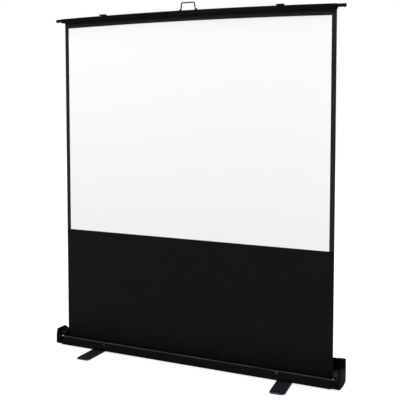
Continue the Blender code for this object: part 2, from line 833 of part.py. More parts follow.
def latch_strap(side, frame, finish):
    """The strap that swings over the front of the closed bar, now folded back on its top."""
    at = latch_pivot(side)
    eye = LATCH_PIN_DIAMETER / 2 + FIT + STRAP_THICKNESS / 2
    half = STRAP_THICKNESS / 2
    tip = at.y + STRAP_LENGTH
    outline = [
        (at.y, at.z - half),
        (tip, at.z - half),
        (tip, at.z + half + STRAP_NOSE),
        (tip - STRAP_THICKNESS, at.z + half + STRAP_NOSE),
        (tip - STRAP_THICKNESS, at.z + half),
        (at.y, at.z + half),
    ]
    ends = (at.x - STRAP_WIDTH / 2, at.x + STRAP_WIDTH / 2)
    made = piece(f"latch_strap_{side_name(side)}", prism(outline, "X", *ends), finish, frame)
    combine(made, turned("X", (at.y, at.z), [(eye, x) for x in ends], SMALL_SIDES), "UNION")
    bore = LATCH_PIN_DIAMETER / 2 + FIT
    profile = [(bore, ends[0] - OVERRUN), (bore, ends[1] + OVERRUN)]
    return combine(made, turned("X", (at.y, at.z), profile, SMALL_SIDES), "DIFFERENCE")


def latch_keeper(side, finish):
    """The clip on the tray's ridge that a strap hooks over."""
    path = tray_front_path()
    low, high = Vector(path[0]), Vector(path[1])
    share = min(1.0, KEEPER_DROP / (high - low).length)
    deck, slot = Vector(path[3]), Vector(path[4])
    back = min(1.0, KEEPER_BACK / (slot - deck).length)
    line = [tuple(high + (low - high) * share), *path[1:4], tuple(deck + (slot - deck) * back)]
    outline = [*offset_path(line, FIT), *reversed(offset_path(line, FIT + KEEPER_THICKNESS))]
    centre = mirrored(latch_x, side)
    ends = (centre - KEEPER_WIDTH / 2, centre + KEEPER_WIDTH / 2)
    made = piece(f"latch_keeper_{side_name(side)}", prism(outline, "X", *ends), finish)
    top = case_bottom + RIDGE_HEIGHT - KEEPER_TAB_DROP
    front = RIDGE_SETBACK - CASE_FRONT - RIDGE_CHAMFER * 2 - KEEPER_TAB_REACH
    low = (ends[0], front, top - KEEPER_THICKNESS)
    high = (ends[1], front + KEEPER_TAB_REACH, top)
    return combine(made, box(low, high), "UNION")


def bail_axis():
    top = bar_base(0.0) + BAR_HEIGHT
    return (bar_middle, top + FIT + BAIL_RISE)


def bail_ear(side, frame, finish):
    """A small block on the bar that one end of the bail turns in."""
    y, z = bail_axis()
    low = bar_base(0.0) + BAR_HEIGHT + FIT
    half = EAR_LENGTH / 2
    outline = [(y - half, low), (y + half, low), (y + half, low + EAR_HEIGHT),
               (y - half, low + EAR_HEIGHT)]
    outline = rounded(outline, [0, 0, EAR_HEIGHT / 2, EAR_HEIGHT / 2])
    inner = BAIL_BASE / 2 + BAIL_WIRE / 2 + RUNNING
    ends = [mirrored(x, side) for x in (inner, inner + EAR_WIDTH)]
    made = piece(f"bail_ear_{side_name(side)}", prism(outline, "X", *ends), finish, frame)
    bore = BAIL_WIRE / 2 + FIT
    ends = [mirrored(x, side) for x in (inner - OVERRUN, inner + EAR_WIDTH + OVERRUN)]
    return combine(made, turned("X", (y, z), [(bore, x) for x in ends], SMALL_SIDES), "DIFFERENCE")


def bail_handle(frame, finish):
    """The wire handle: two legs drawn in to a straight grip, with tails that turn outward."""
    y, z = bail_axis()
    origin = Vector(frame["at"])
    base, grip = BAIL_BASE / 2, BAIL_TOP / 2
    tail = base + BAIL_TAIL
    corners = [(-tail, 0.0), (-base, 0.0), (-grip, BAIL_HEIGHT), (grip, BAIL_HEIGHT),
               (base, 0.0), (tail, 0.0)]
    radii = [0, BAIL_WIRE * 2 / 3, BAIL_CORNER, BAIL_CORNER, BAIL_WIRE * 2 / 3, 0]
    path = rounded(corners, radii, 5)
    curve = bpy.data.curves.new("bail_handle", "CURVE")
    curve.dimensions = "3D"
    curve.bevel_depth = BAIL_WIRE / 2
    curve.bevel_resolution = 2
    curve.use_fill_caps = True
    line = curve.splines.new("POLY")
    line.points.add(len(path) - 1)
    for point, (x, height) in zip(line.points, path):
        place = Vector((x, y - height * math.sin(BAIL_LEAN), z + height * math.cos(BAIL_LEAN)))
        point.co = (*(place - origin), 1.0)
    curve.materials.append(finish)
    made = bpy.data.objects.new("bail_handle", curve)
    bpy.context.scene.collection.objects.link(made)
    made.parent = frame
    return made


def lift_bracket(frame, finish):
    """The shelf behind the bar that rests on the mast's tongue, with a lip behind it."""
    low = bar_base(0.0)
    high = low + BAR_HEIGHT - BAR_WALL
    front = bar_rear + FIT
    rear = tongue_pivot.y - TONGUE_THICKNESS / 2 - TONGUE_PAD_RISE - LIFT_LIP_CLEAR
    outline = [
        (front, low),
        (front + LIFT_WALL, low),
        (front + LIFT_WALL, shelf_bottom),
        (rear - LIFT_WALL, shelf_bottom),
        (rear - LIFT_WALL, shelf_bottom - LIFT_LIP + FIT),
        (rear, shelf_bottom - LIFT_LIP + FIT),
        (rear, shelf_bottom + LIFT_WALL),
        (front + LIFT_WALL, shelf_bottom + LIFT_WALL),
        (front + LIFT_WALL, high),
        (front, high),
    ]
    half = LIFT_WIDTH / 2
    return piece("lift_bracket", prism(outline, "X", -half, half), finish, frame, smooth=False)


def foot(side, frame, finishes):
    """A flat foot with rounded ends, on a pivot under the tray, and its two rubber pads."""
    name = side_name(side)
    x = mirrored(foot_x, side)
    half_w, half_l = FOOT_WIDTH / 2, FOOT_LENGTH / 2
    top = foot_bottom + FOOT_THICKNESS
    rows = []
    for inset, z in ((0.0, foot_bottom), (0.0, top - FOOT_EDGE), (FOOT_EDGE, top)):
        w, l = half_w - inset, half_l - inset
        outline = [(x - w, -l), (x + w, -l), (x + w, l), (x - w, l)]
        outline = rounded(outline, [FOOT_ROUNDING - inset] * 4, 6)
        rows.append([spot("Z", z, u, v) for u, v in outline])
    made = piece(f"foot_{name}", loft(rows), finishes["foot_paint"], frame)
    hole = PIVOT_DIAMETER / 2 + FIT
    profile = [(hole, foot_bottom - OVERRUN), (hole, top + OVERRUN)]
    combine(made, turned("Z", (x, 0.0), profile), "DIFFERENCE")
    for end, place in (("front", -1), ("rear", 1)):
        centre = place * (half_l - PAD_INSET)
        w, l = PAD_LENGTH / 2, PAD_WIDTH / 2
        outline = [(x - w, centre - l), (x + w, centre - l), (x + w, centre + l),
                   (x - w, centre + l)]
        outline = rounded(outline, [PAD_WIDTH / 3] * 4)
        pad = prism(outline, "Z", 0.0, PAD_THICKNESS)
        piece(f"foot_pad_{name}_{end}", pad, finishes["rubber"], frame)


def foot_pivot(side, finishes):
    """The rivet that a foot turns on, and the friction washer above the foot."""
    name = side_name(side)
    centre = (mirrored(foot_x, side), 0.0)
    shank, head = PIVOT_DIAMETER / 2, PIVOT_HEAD / 2
    low, high = foot_bottom - FIT, floor_top + FIT
    profile = [
        (head, low - PIVOT_HEAD_HEIGHT),
        (head, low),
        (shank, low),
        (shank, high),
        (head, high),
        (head, high + PIVOT_HEAD_HEIGHT),
    ]
    piece(f"foot_rivet_{name}", turned("Z", centre, profile), finishes["steel"])
    ring = sleeve("Z", centre, WASHER_DIAMETER / 2, shank + FIT, washer_bottom,
                  washer_bottom + WASHER_THICKNESS)
    piece(f"foot_washer_{name}", ring, finishes["black_plastic"])


def mast_bracket(finish):
    """The clevis bolted into the rear channel that the mast turns in."""
    half = HINGE_WIDTH / 2
    low = flange_top + FIT
    high = MAST_HINGE_HEIGHT + HINGE_RISE
    outline = [(-half, low), (half, low), (half, high), (-half, high)]
    outline = rounded(outline, [0, 0, HINGE_RISE, HINGE_RISE])
    reach = MAST_ROOT_WIDTH / 2 + FIT + HINGE_WALL
    ends = (MAST_BEHIND - reach, MAST_BEHIND + reach)
    made = piece("mast_bracket", prism(outline, "Y", *ends), finish)
    inside = MAST_ROOT_WIDTH / 2 + FIT
    slot = box(
        (-half - OVERRUN, MAST_BEHIND - inside, low + HINGE_WALL),
        (half + OVERRUN, MAST_BEHIND + inside, high + OVERRUN),
    )
    combine(made, slot, "DIFFERENCE")
    bore = MAST_PIN_DIAMETER / 2 + FIT
    profile = [(bore, ends[0] - OVERRUN), (bore, ends[1] + OVERRUN)]
    return combine(made, turned("Y", (0.0, MAST_HINGE_HEIGHT), profile), "DIFFERENCE")


def mast_hinge_pin(finish):
    reach = MAST_ROOT_WIDTH / 2 + FIT + HINGE_WALL
    radius = MAST_PIN_DIAMETER / 2
    profile = [(radius, MAST_BEHIND - reach), (radius, MAST_BEHIND + reach)]
    mesh = turned("Y", (0.0, MAST_HINGE_HEIGHT), profile)
    return piece("mast_hinge_pin", mesh, finish)


def mast_root(frame, finish):
    """The block that turns in the clevis and plugs into the lowest tube."""
    low = MAST_HINGE_HEIGHT - MAST_ROOT_RADIUS
    high = MAST_HINGE_HEIGHT + MAST_OUTER_START - FIT
    radius = MAST_ROOT_RADIUS
    outline = [(-radius, low), (radius, low), (radius, high), (-radius, high)]
    outline = rounded(outline, [radius * 3 / 4, radius * 3 / 4, 0, 0])
    half = MAST_ROOT_WIDTH / 2
    ends = (MAST_BEHIND - half, MAST_BEHIND + half)
    made = piece("mast_root", prism(outline, "Y", *ends), finish, frame)
    seat = MAST_OUTER_DIAMETER / 2 - MAST_OUTER_WALL - FIT
    profile = [(seat, high - OVERRUN), (seat, high + MAST_PLUG_LENGTH)]
    combine(made, turned("Z", (0.0, MAST_BEHIND), profile), "UNION")
    bore = MAST_PIN_DIAMETER / 2 + FIT
    profile = [(bore, ends[0] - OVERRUN), (bore, ends[1] + OVERRUN)]
    return combine(made, turned("Y", (0.0, MAST_HINGE_HEIGHT), profile), "DIFFERENCE")


def mast_radius(stage):
    """Outer radius of a mast tube: stage 0 is the lowest."""
    return MAST_OUTER_DIAMETER / 2 - MAST_STEP * stage


def mast_tube(name, stage, bottom, top, frame, finish):
    outer = mast_radius(stage)
    wall = MAST_TUBE_WALL if stage else MAST_OUTER_WALL
    mesh = sleeve("Z", (0.0, MAST_BEHIND), outer, outer - wall, bottom, top)
    return piece(name, mesh, finish, frame)


def clamp_collar(name, stage, tube_top, side, frame, finish):
    """The collar on top of a tube: it grips the next tube and has a fork for its lever."""
    centre = (0.0, MAST_BEHIND)
    around = mast_radius(stage) + FIT
    outer = around + COLLAR_WALL
    throat = mast_radius(stage + 1) + FIT
    low, high = tube_top - COLLAR_GRIP, tube_top + COLLAR_LIP
    profile = [
        (outer, low),
        (outer, high),
        (throat, high),
        (throat, tube_top + FIT),
        (around, tube_top + FIT),
        (around, low),
    ]
    made = piece(name, turned("Z", centre, profile, closed=True), finish, frame)
    reach, half = outer + FORK_REACH, FORK_WIDTH / 2
    ends = sorted((mirrored(outer - COLLAR_WALL / 2, side), mirrored(reach, side)))
    fork = box((ends[0], MAST_BEHIND - half, high - FORK_HEIGHT),
               (ends[1], MAST_BEHIND + half, high - COLLAR_GAP))
    combine(made, fork, "UNION")
    slot_half = LEVER_WIDTH / 2 + FIT
    ends = sorted((mirrored(outer, side), mirrored(reach + OVERRUN, side)))
    slot = box((ends[0], MAST_BEHIND - slot_half, high - FORK_HEIGHT - OVERRUN),
               (ends[1], MAST_BEHIND + slot_half, high + OVERRUN))
    combine(made, slot, "DIFFERENCE")
    pin_x, pin_z = lever_axis(stage, tube_top, side)
    bore = LEVER_PIN_DIAMETER / 2 + FIT
    profile = [(bore, MAST_BEHIND - half - OVERRUN), (bore, MAST_BEHIND + half + OVERRUN)]
    return combine(made, turned("Y", (pin_x, pin_z), profile, SMALL_SIDES), "DIFFERENCE")


def lever_axis(stage, tube_top, side):
    outer = mast_radius(stage) + FIT + COLLAR_WALL
    x = mirrored(outer + LEVER_EYE + FIT, side)
    return (x, tube_top + COLLAR_LIP - COLLAR_GAP - FORK_HEIGHT / 2)


def clamp_lever(name, stage, tube_top, side, frame, finish):
    """The cam lever of a collar, closed, with its blade down along the tube."""
    x, z = lever_axis(stage, tube_top, side)
    inner = mirrored(LEVER_EYE - LEVER_THICKNESS, side)
    outer = mirrored(LEVER_EYE, side)
    tip = z - LEVER_LENGTH
    outline = [(x + inner, tip), (x + outer, tip), (x + outer, z), (x + inner, z)]
    outline = rounded(outline, [LEVER_THICKNESS / 3, LEVER_THICKNESS / 3, 0, 0], 2)
    half = LEVER_WIDTH / 2
    ends = (MAST_BEHIND - half, MAST_BEHIND + half)
    made = piece(name, prism(outline, "Y", *ends), finish, frame)
    combine(made, turned("Y", (x, z), [(LEVER_EYE, y) for y in ends], SMALL_SIDES), "UNION")
    bore = LEVER_PIN_DIAMETER / 2 + FIT
    profile = [(bore, ends[0] - OVERRUN), (bore, ends[1] + OVERRUN)]
    return combine(made, turned("Y", (x, z), profile, SMALL_SIDES), "DIFFERENCE")


def lever_pin(name, stage, tube_top, side, frame, finish):
    half = FORK_WIDTH / 2
    radius = LEVER_PIN_DIAMETER / 2
    profile = [(radius, MAST_BEHIND - half), (radius, MAST_BEHIND + half)]
    mesh = turned("Y", lever_axis(stage, tube_top, side), profile, SMALL_SIDES)
    return piece(name, mesh, finish, frame)


def mast_head(frame, finish):
    """The block on the mast's top, forked in front for the tongue."""
    half = HEAD_WIDTH / 2
    front = tongue_pivot.y - TONGUE_EYE
    rear = MAST_BEHIND + HEAD_REAR
    outline = [(front, head_bottom), (rear, head_bottom), (rear, head_bottom + HEAD_HEIGHT),
               (front, head_bottom + HEAD_HEIGHT)]
    outline = rounded(outline, [TONGUE_EYE / 2, TONGUE_EYE, TONGUE_EYE, TONGUE_EYE / 2])
    made = piece("mast_head", prism(outline, "X", -half, half), finish, frame)
    seat = mast_radius(2) - MAST_TUBE_WALL - FIT
    profile = [(seat, head_bottom - HEAD_PLUG), (seat, head_bottom + OVERRUN)]
    combine(made, turned("Z", (0.0, MAST_BEHIND), profile), "UNION")
    slot_half = TONGUE_WIDTH / 2 + FIT
    slot = box(
        (-slot_half, front - OVERRUN, head_bottom - OVERRUN),
        (slot_half, tongue_pivot.y + TONGUE_EYE + RUNNING, head_bottom + HEAD_HEIGHT + OVERRUN),
    )
    combine(made, slot, "DIFFERENCE")
    bore = TONGUE_PIN_DIAMETER / 2 + FIT
    profile = [(bore, -half - OVERRUN), (bore, half + OVERRUN)]
    at = (tongue_pivot.y, tongue_pivot.z)
    return combine(made, turned("X", at, profile, SMALL_SIDES), "DIFFERENCE")


def tongue_pin(frame, finish):
    half = HEAD_WIDTH / 2
    radius = TONGUE_PIN_DIAMETER / 2
    profile = [(radius, -half), (radius, half)]
    mesh = turned("X", (tongue_pivot.y, tongue_pivot.z), profile, SMALL_SIDES)
    return piece("tongue_pin", mesh, finish, frame)


def support_tongue(frame, finish):
    """The tongue under the bar's shelf, which folds down to let the bar go."""
    y, z = tongue_pivot.y, tongue_pivot.z
    half = TONGUE_THICKNESS / 2
    tip = y - TONGUE_REACH
    pad_rear = tip + TONGUE_PAD_LENGTH
    outline = [
        (y, z - half),
        (y, z + half),
        (pad_rear, z + half),
        (pad_rear, z + half + TONGUE_PAD_RISE),
        (tip, z + half + TONGUE_PAD_RISE),
        (tip, z - half),
    ]
    ends = (-TONGUE_WIDTH / 2, TONGUE_WIDTH / 2)
    made = piece("support_tongue", prism(outline, "X", *ends), finish, frame)
    combine(made, turned("X", (y, z), [(TONGUE_EYE, x) for x in ends], SMALL_SIDES), "UNION")
    bore = TONGUE_PIN_DIAMETER / 2 + FIT
    profile = [(bore, ends[0] - OVERRUN), (bore, ends[1] + OVERRUN)]
    return combine(made, turned("X", (y, z), profile, SMALL_SIDES), "DIFFERENCE")


def case(finishes):
    base_tray(finishes["black_metal"])
    roller_cover(finishes["black_metal"])
    rear_housing(finishes["black_metal"])
    for side in (-1, 1):
        end_cap(side, finishes["black_plastic"])
        cap_screw(side, finishes["steel"])
        roller_bracket(side, finishes["steel"])
        latch_keeper(side, finishes["steel"])
        foot_pivot(side, finishes)
    spring_spindle(finishes["steel"])


def screen(finishes):
    y, z = roller_axis
    spin = pivot("roller_frame", (0.0, y, z))
    roller(spin, finishes)
    spring(spin, finishes["steel"])
    fabric(finishes)


def bar(finishes):
    frame = pivot("bar_frame", (0.0, bar_middle, bar_base(0.0)))
    top_bar(frame, finishes["black_metal"])
    fabric_spline(frame, finishes["black_plastic"])
    lift_bracket(frame, finishes["steel"])
    for side in (-1, 1):
        bar_end(side, frame, finishes["black_plastic"])
        latch_hinge(side, frame, finishes["black_metal"])
        latch_pin(side, frame, finishes["steel"])
        bail_ear(side, frame, finishes["black_metal"])
        swing = pivot(f"latch_frame_{side_name(side)}", latch_pivot(side), frame)
        latch_strap(side, swing, finishes["black_metal"])
    y, z = bail_axis()
    bail_handle(pivot("bail_frame", (0.0, y, z), frame), finishes["wire"])


def mast(finishes):
    mast_bracket(finishes["steel"])
    mast_hinge_pin(finishes["steel"])
    outer = pivot("mast_frame", mast_hinge)
    start = MAST_HINGE_HEIGHT + MAST_OUTER_START
    mast_root(outer, finishes["black_plastic"])
    mast_tube("mast_outer_tube", 0, start, MAST_OUTER_TOP, outer, finishes["aluminium"])
    middle = pivot("middle_frame", (0.0, MAST_BEHIND, middle_top), outer)
    bottom = MAST_OUTER_TOP - MAST_OVERLAP
    mast_tube("mast_middle_tube", 1, bottom, middle_top, middle, finishes["aluminium"])
    inner = pivot("inner_frame", (0.0, MAST_BEHIND, head_bottom), middle)
    bottom = middle_top - MAST_OVERLAP
    mast_tube("mast_inner_tube", 2, bottom, head_bottom - FIT, inner, finishes["aluminium"])
    mast_head(inner, finishes["black_plastic"])
    tongue_pin(inner, finishes["steel"])
    support_tongue(pivot("tongue_frame", tongue_pivot, inner), finishes["steel"])
    clamps = (
        ("lower", 0, MAST_OUTER_TOP, 1, outer),
        ("upper", 1, middle_top, -1, middle),
    )
    for name, stage, tube_top, side, frame in clamps:
        fit = (stage, tube_top, side)
        clamp_collar(f"clamp_collar_{name}", *fit, frame, finishes["black_plastic"])
        lever_pin(f"clamp_pin_{name}", *fit, frame, finishes["steel"])
        x, z = lever_axis(*fit)
        turn = pivot(f"lever_frame_{name}", (x, MAST_BEHIND, z), frame)
        clamp_lever(f"clamp_lever_{name}", *fit, turn, finishes["black_plastic"])


def feet(finishes):
    for side in (-1, 1):
        toe = RIGHT_TOE_OUT if side > 0 else 0.0
        at = (mirrored(foot_x, side), 0.0, washer_bottom)
        foot(side, pivot(f"foot_frame_{side_name(side)}", at, turn=toe), finishes)


def main():
    for old in list(bpy.data.objects):
        bpy.data.objects.remove(old)
    finishes = {
        "black_metal": material("black_metal", (0.018, 0.019, 0.018), 0.38, 0.3),
        "black_plastic": material("black_plastic", (0.014, 0.014, 0.015), 0.35),
        "black_fabric": material("black_fabric", (0.013, 0.014, 0.013), 0.75),
        "white_fabric": material("white_fabric", (0.86, 0.86, 0.86), 0.8),
        "foot_paint": material("foot_paint", (0.016, 0.017, 0.021), 0.45, 0.3),
        "wire": material("wire", (0.10, 0.10, 0.11), 0.35, 0.8),
        "steel": material("steel", (0.45, 0.45, 0.46), 0.35, 1.0),
        "aluminium": material("aluminium", (0.62, 0.63, 0.64), 0.4, 1.0),
        "rubber": material("rubber", (0.012, 0.012, 0.012), 0.85),
    }
    case(finishes)
    screen(finishes)
    bar(finishes)
    mast(finishes)
    feet(finishes)


main()
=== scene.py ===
"""Dresses the pull up projection screen: fabric, case, caps, bar, mast, feet and its studio."""

import json
import math

import bpy
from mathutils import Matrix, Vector

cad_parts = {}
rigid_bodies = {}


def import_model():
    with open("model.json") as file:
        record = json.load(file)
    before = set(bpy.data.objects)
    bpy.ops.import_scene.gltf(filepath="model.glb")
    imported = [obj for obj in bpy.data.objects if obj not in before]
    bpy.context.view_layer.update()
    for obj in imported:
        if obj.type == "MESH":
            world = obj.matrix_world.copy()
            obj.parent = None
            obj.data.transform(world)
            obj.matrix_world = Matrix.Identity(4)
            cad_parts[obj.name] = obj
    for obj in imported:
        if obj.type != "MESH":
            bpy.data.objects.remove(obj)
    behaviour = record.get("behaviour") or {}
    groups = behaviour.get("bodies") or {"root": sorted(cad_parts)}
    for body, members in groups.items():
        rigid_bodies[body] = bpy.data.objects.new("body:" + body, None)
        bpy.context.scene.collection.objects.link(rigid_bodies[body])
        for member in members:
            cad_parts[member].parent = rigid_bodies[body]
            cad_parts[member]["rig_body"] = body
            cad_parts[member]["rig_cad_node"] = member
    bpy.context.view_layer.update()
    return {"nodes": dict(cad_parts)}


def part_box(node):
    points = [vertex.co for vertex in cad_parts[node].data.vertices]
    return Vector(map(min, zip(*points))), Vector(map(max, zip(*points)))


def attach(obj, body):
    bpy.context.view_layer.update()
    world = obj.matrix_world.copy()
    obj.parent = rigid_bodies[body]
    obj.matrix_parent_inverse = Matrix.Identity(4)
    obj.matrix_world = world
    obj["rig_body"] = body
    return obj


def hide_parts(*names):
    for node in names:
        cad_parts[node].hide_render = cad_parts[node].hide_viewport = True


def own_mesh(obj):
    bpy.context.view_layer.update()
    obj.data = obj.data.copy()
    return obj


bl_info = {
    "name": "Pull Up Projection Screen",
    "version": (1, 0, 0),
    "blender": (4, 5, 0),
    "location": "View3D > Sidebar > Screen",
    "description": "Builds the finished pieces of a floor standing projection screen",
    "category": "Add Mesh",
}

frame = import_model()
nodes = frame["nodes"]
SIDES = ("left", "right")

# Places that the fitted pieces share, all read from the frame

tray_low, tray_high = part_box("base_tray")
cover_low, cover_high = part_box("roller_cover")
back_low, back_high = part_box("rear_housing")
sheet_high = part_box("fabric_sheet")[1]
white_low, white_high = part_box("white_surface")
bar_low, bar_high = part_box("top_bar")
roll_low, roll_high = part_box("fabric_roll")
CASE_BOTTOM = tray_low.z
CASE_HALF = tray_high.x
FABRIC_HALF = sheet_high.x
BAR_HALF = bar_high.x
ROLL_AXIS = ((roll_low.y + roll_high.y) / 2, (roll_low.z + roll_high.z) / 2)
ROLL_RADIUS = (roll_high.z - roll_low.z) / 2

# Modelling: how far tools reach past a piece, merge distances, and how wide a rounded edge is

OVERRUN = 0.004
WELD = 0.00001
SPIN_WELD = 0.00002
EDGE_STRIP = 0.0011

# Cloth: its grids, how it leaves its plane, and its turns on the roller

CLOTH_GRID, WHITE_GRID = (120, 96), (110, 64)
CURL_START = 0.93
CURL_SHARE, WAVE_SHARE = 1.1, 0.45
WAVES = ((1.0, 7.5, 1.3, 0.0), (0.5, 17.0, -2.1, 0.8))
TURNS, TURN_STEPS = 2.2, 40
PLY, PLY_PITCH = 0.0004, 0.0005

# Case

WALL = 0.0025
TRAY_FLOOR, TRAY_GROOVE = 0.003, 0.008
RIDGE_SETBACK = 0.017
TRAY_SLOT = (-0.006, 0.004)
COVER_LIP, COVER_FLANGE = 0.0175, 0.0115
COVER_RIBS, BACK_GROOVES = (0.35, 0.5, 0.65), (0.32, 0.68)
PIVOT_RADIUS = 0.0053

# Caps: corners across and above the case's bottom, and where the painted highlight crosses the
# shoulder

CAP_RIM = 0.013
SCOOP_MARGIN, SCOOP_ROUND = 0.003, 0.008
SCOOP = ((-0.034, 0.070), (0.024, 0.110))
CAP_SLOT = ((-0.0375, 0.036), (-0.0335, 0.052))
SEAM_HALF, SEAM_DEPTH, SEAM_TOP = 0.0004, 0.0010, 0.043
# Where the painted highlight crosses the caps' shoulder, across and above the case's bottom
SHOULDER_HIGHLIGHT = (-0.017, 0.066)
CROSS_LONG, CROSS_HALF = 0.0021, 0.0004
SCREW_RIM, SCREW_STEPS = 0.3, 8

# Top bar with its ends, whose sections are given as radius and distance outwards

BAR_BOW, BAR_HEIGHT = 0.010, 0.025
BAR_WALL, BAR_SLOT = 0.002, 0.0015
BAR_STEPS = 48
END_PLATE, END_ROUND = 0.003, 0.002
END_NECK = ((0.0, 0.001), (0.0096, 0.001), (0.0094, 0.006), (0.0091, 0.009))
KNOB_LENGTH, KNOB_RADIUS, KNOB_SEAT = 0.016, 0.00975, 0.002
KNOB = ((0.0, 0.0), (0.00795, 0.0), (0.00925, 0.0006), (0.00975, 0.0018), (0.00975, 0.0045),
        (0.00925, 0.005), (0.00925, 0.0058), (0.00975, 0.0063), (0.00975, 0.0125),
        (0.00895, 0.0146), (0.00675, 0.016), (0.0, 0.016))
NECK_DROP = 0.0092
COLLAR_HALF, COLLAR_OUT, COLLAR_DROP = 0.010, (0.001, 0.007), (0.017, 0.0004)

# Handle and latches

WIRE_RADIUS = 0.0037
HANDLE_AXIS, HANDLE_RISE, HANDLE_LEAN = 0.0045, 0.038, math.radians(6.0)
HANDLE_BASE, HANDLE_GRIP = 0.044, 0.0395
HANDLE_BEND, HANDLE_CORNER = 0.0033, 0.008
RIVET = ((0.0, 0.0), (0.0026, 0.0), (0.0026, 0.0006), (0.0021, 0.0012), (0.0012, 0.0015),
         (0.0, 0.0016))
RIVET_SEAT, RIVET_INSET, RIVET_SHARES = 0.0012, 0.0045, (0.25, 0.75)
WINDOW_HALF, WINDOW_ENDS, WINDOW_ROUND = 0.0035, (0.020, 0.062), 0.0034

# Mast

TUBE_WALLS = {"outer": 0.0015, "middle": 0.0014, "inner": 0.0014}
TUBE_LIP = 0.0006
RIB_START, RIB_PITCH, RIB_WIDTH, RIB_DEPTH, RIB_COUNT = 0.005, 0.0032, 0.0012, 0.0006, 5

# Stage: the camera as solved from the photograph, the lamps and how bright white is

CAMERA_YAW, CAMERA_PITCH = 0.4480, 0.0658
CAMERA_PLACE = (1.8767, -3.7675, 1.4929)
SENSOR, FOCAL_SHARE, CAMERA_SHIFT, FAR_CLIP = 36.0, 748.6 / 400, -0.12, 60.0
LAMP_AIM = Vector((0.0, 0.0, 0.9))
LAMPS = (
    ("key_lamp", (-1.7, -4.1, 3.8), 1.3, 84.0),
    ("side_lamp", (3.7, -1.0, 2.6), 1.3, 40.0),
    ("rear_lamp", (-1.5, 3.2, 3.2), 1.8, 55.0),
)
WORLD_LIGHT, FLOOR_GLOW, FLOOR_SIZE = 0.88, 0.82, 30.0


class ScreenLook(bpy.types.PropertyGroup):
    """Sizes and colours of the finished screen."""

    drop_colour: bpy.props.FloatVectorProperty(
        name="Drop colour", description="Black cloth below the white surface",
        subtype="COLOR", size=3, min=0.0, max=1.0, default=(0.0057, 0.0070, 0.0057))
    border_colour: bpy.props.FloatVectorProperty(
        name="Border colour", description="Black border around the white surface",
        subtype="COLOR", size=3, min=0.0, max=1.0, default=(0.0176, 0.0180, 0.0156))
    white_colour: bpy.props.FloatVectorProperty(
        name="White colour", description="Matt white viewing coat",
        subtype="COLOR", size=3, min=0.0, max=1.0, default=(0.95, 0.95, 0.95))
    case_colour: bpy.props.FloatVectorProperty(
        name="Case colour", description="Coat on the extrusions of the case and the bar",
        subtype="COLOR", size=3, min=0.0, max=1.0, default=(0.0022, 0.0023, 0.0022))
    plastic_colour: bpy.props.FloatVectorProperty(
        name="Moulding colour", description="End caps, bar ends and clamps",
        subtype="COLOR", size=3, min=0.0, max=1.0, default=(0.0048, 0.0050, 0.0052))
    foot_colour: bpy.props.FloatVectorProperty(
        name="Foot colour", description="Textured paint of the feet",
        subtype="COLOR", size=3, min=0.0, max=1.0, default=(0.0095, 0.0100, 0.0135))
    cloth_thickness: bpy.props.FloatProperty(
        name="Cloth thickness", description="Thickness of the black cloth",
        subtype="DISTANCE", unit="LENGTH", min=0.0002, max=0.0015, default=0.0006)
    coat_thickness: bpy.props.FloatProperty(
        name="White thickness", description="Thickness of the white viewing sheet",
        subtype="DISTANCE", unit="LENGTH", min=0.0002, max=0.0015, default=0.0005)
    ripple: bpy.props.FloatProperty(
        name="Ripple", description="How far the stretched cloth leaves its plane",
        subtype="DISTANCE", unit="LENGTH", min=0.0, max=0.004, default=0.0009)
    weave_pitch: bpy.props.FloatProperty(
        name="Weave pitch", description="Distance from thread to thread",
        subtype="DISTANCE", unit="LENGTH", min=0.0003, max=0.003, default=0.0011)
    ridge_round: bpy.props.FloatProperty(
        name="Ridge rounding", description="Radius of the ridge along the case",
        subtype="DISTANCE", unit="LENGTH", min=0.001, max=0.008, default=0.0042)
    edge_round: bpy.props.FloatProperty(
        name="Edge rounding", description="Rounding of moulded edges",
        subtype="DISTANCE", unit="LENGTH", min=0.0002, max=0.002, default=0.0009)
    tube_sides: bpy.props.IntProperty(
        name="Tube sides", description="Sides of a turned piece",
        min=24, max=128, default=64)


def look():
    return bpy.context.scene.screen_look


# Modelling

def spot(axis, along, across, up):
    """A point by its place along X or Z and by its two other coordinates in order."""
    return Vector((along, across, up) if axis == "X" else (across, up, along))


def only(*pieces):
    """Selects these pieces alone, the first one active."""
    if bpy.context.object and bpy.context.object.mode != "OBJECT":
        leave()
    bpy.ops.object.select_all(action="DESELECT")
    for piece in pieces:
        piece.select_set(True)
    if pieces:
        bpy.context.view_layer.objects.active = pieces[0]


def edit(piece):
    only(piece)
    bpy.ops.object.mode_set(mode="EDIT")
    bpy.ops.mesh.select_all(action="SELECT")


def leave():
    bpy.ops.object.mode_set(mode="OBJECT")


def outward(piece):
    """Turns all the faces outwards and leaves the mesh."""
    bpy.ops.mesh.select_all(action="SELECT")
    bpy.ops.mesh.normals_make_consistent(inside=False)
    leave()
    return piece


def started(name, shape, **values):
    """A new mesh from one of the plain shapes, to be modelled further."""
    only()
    shape(**values)
    piece = bpy.context.object
    piece.name = name
    return piece


def applied(piece, kind, **values):
    """Adds a modifier with these values and applies it."""
    only(piece)
    modifier = piece.modifiers.new(kind.title(), kind)
    for name, value in values.items():
        setattr(modifier, name, value)
    bpy.ops.object.modifier_apply(modifier=modifier.name)
    return piece


def outlined(name, corners, axis, stations):
    """Fills an outline of (u, v) corners and pushes it out from station to station.

    A station is its place along the axis and how far it lies above the outline."""
    piece = started(name, bpy.ops.mesh.primitive_circle_add, vertices=len(corners),
                    fill_type="NGON")
    first, lift = stations[0]
    for vert, (u, v) in zip(piece.data.vertices, corners):
        vert.co = spot(axis, first, u, v + lift)
    edit(piece)
    for (one, low), (two, high) in zip(stations, stations[1:]):
        step = spot(axis, two - one, 0.0, high - low)
        bpy.ops.mesh.extrude_region_move(TRANSFORM_OT_translate={"value": step})
    return outward(piece)


def pushed(name, corners, axis, start, end):
    return outlined(name, corners, axis, [(start, 0.0), (end, 0.0)])


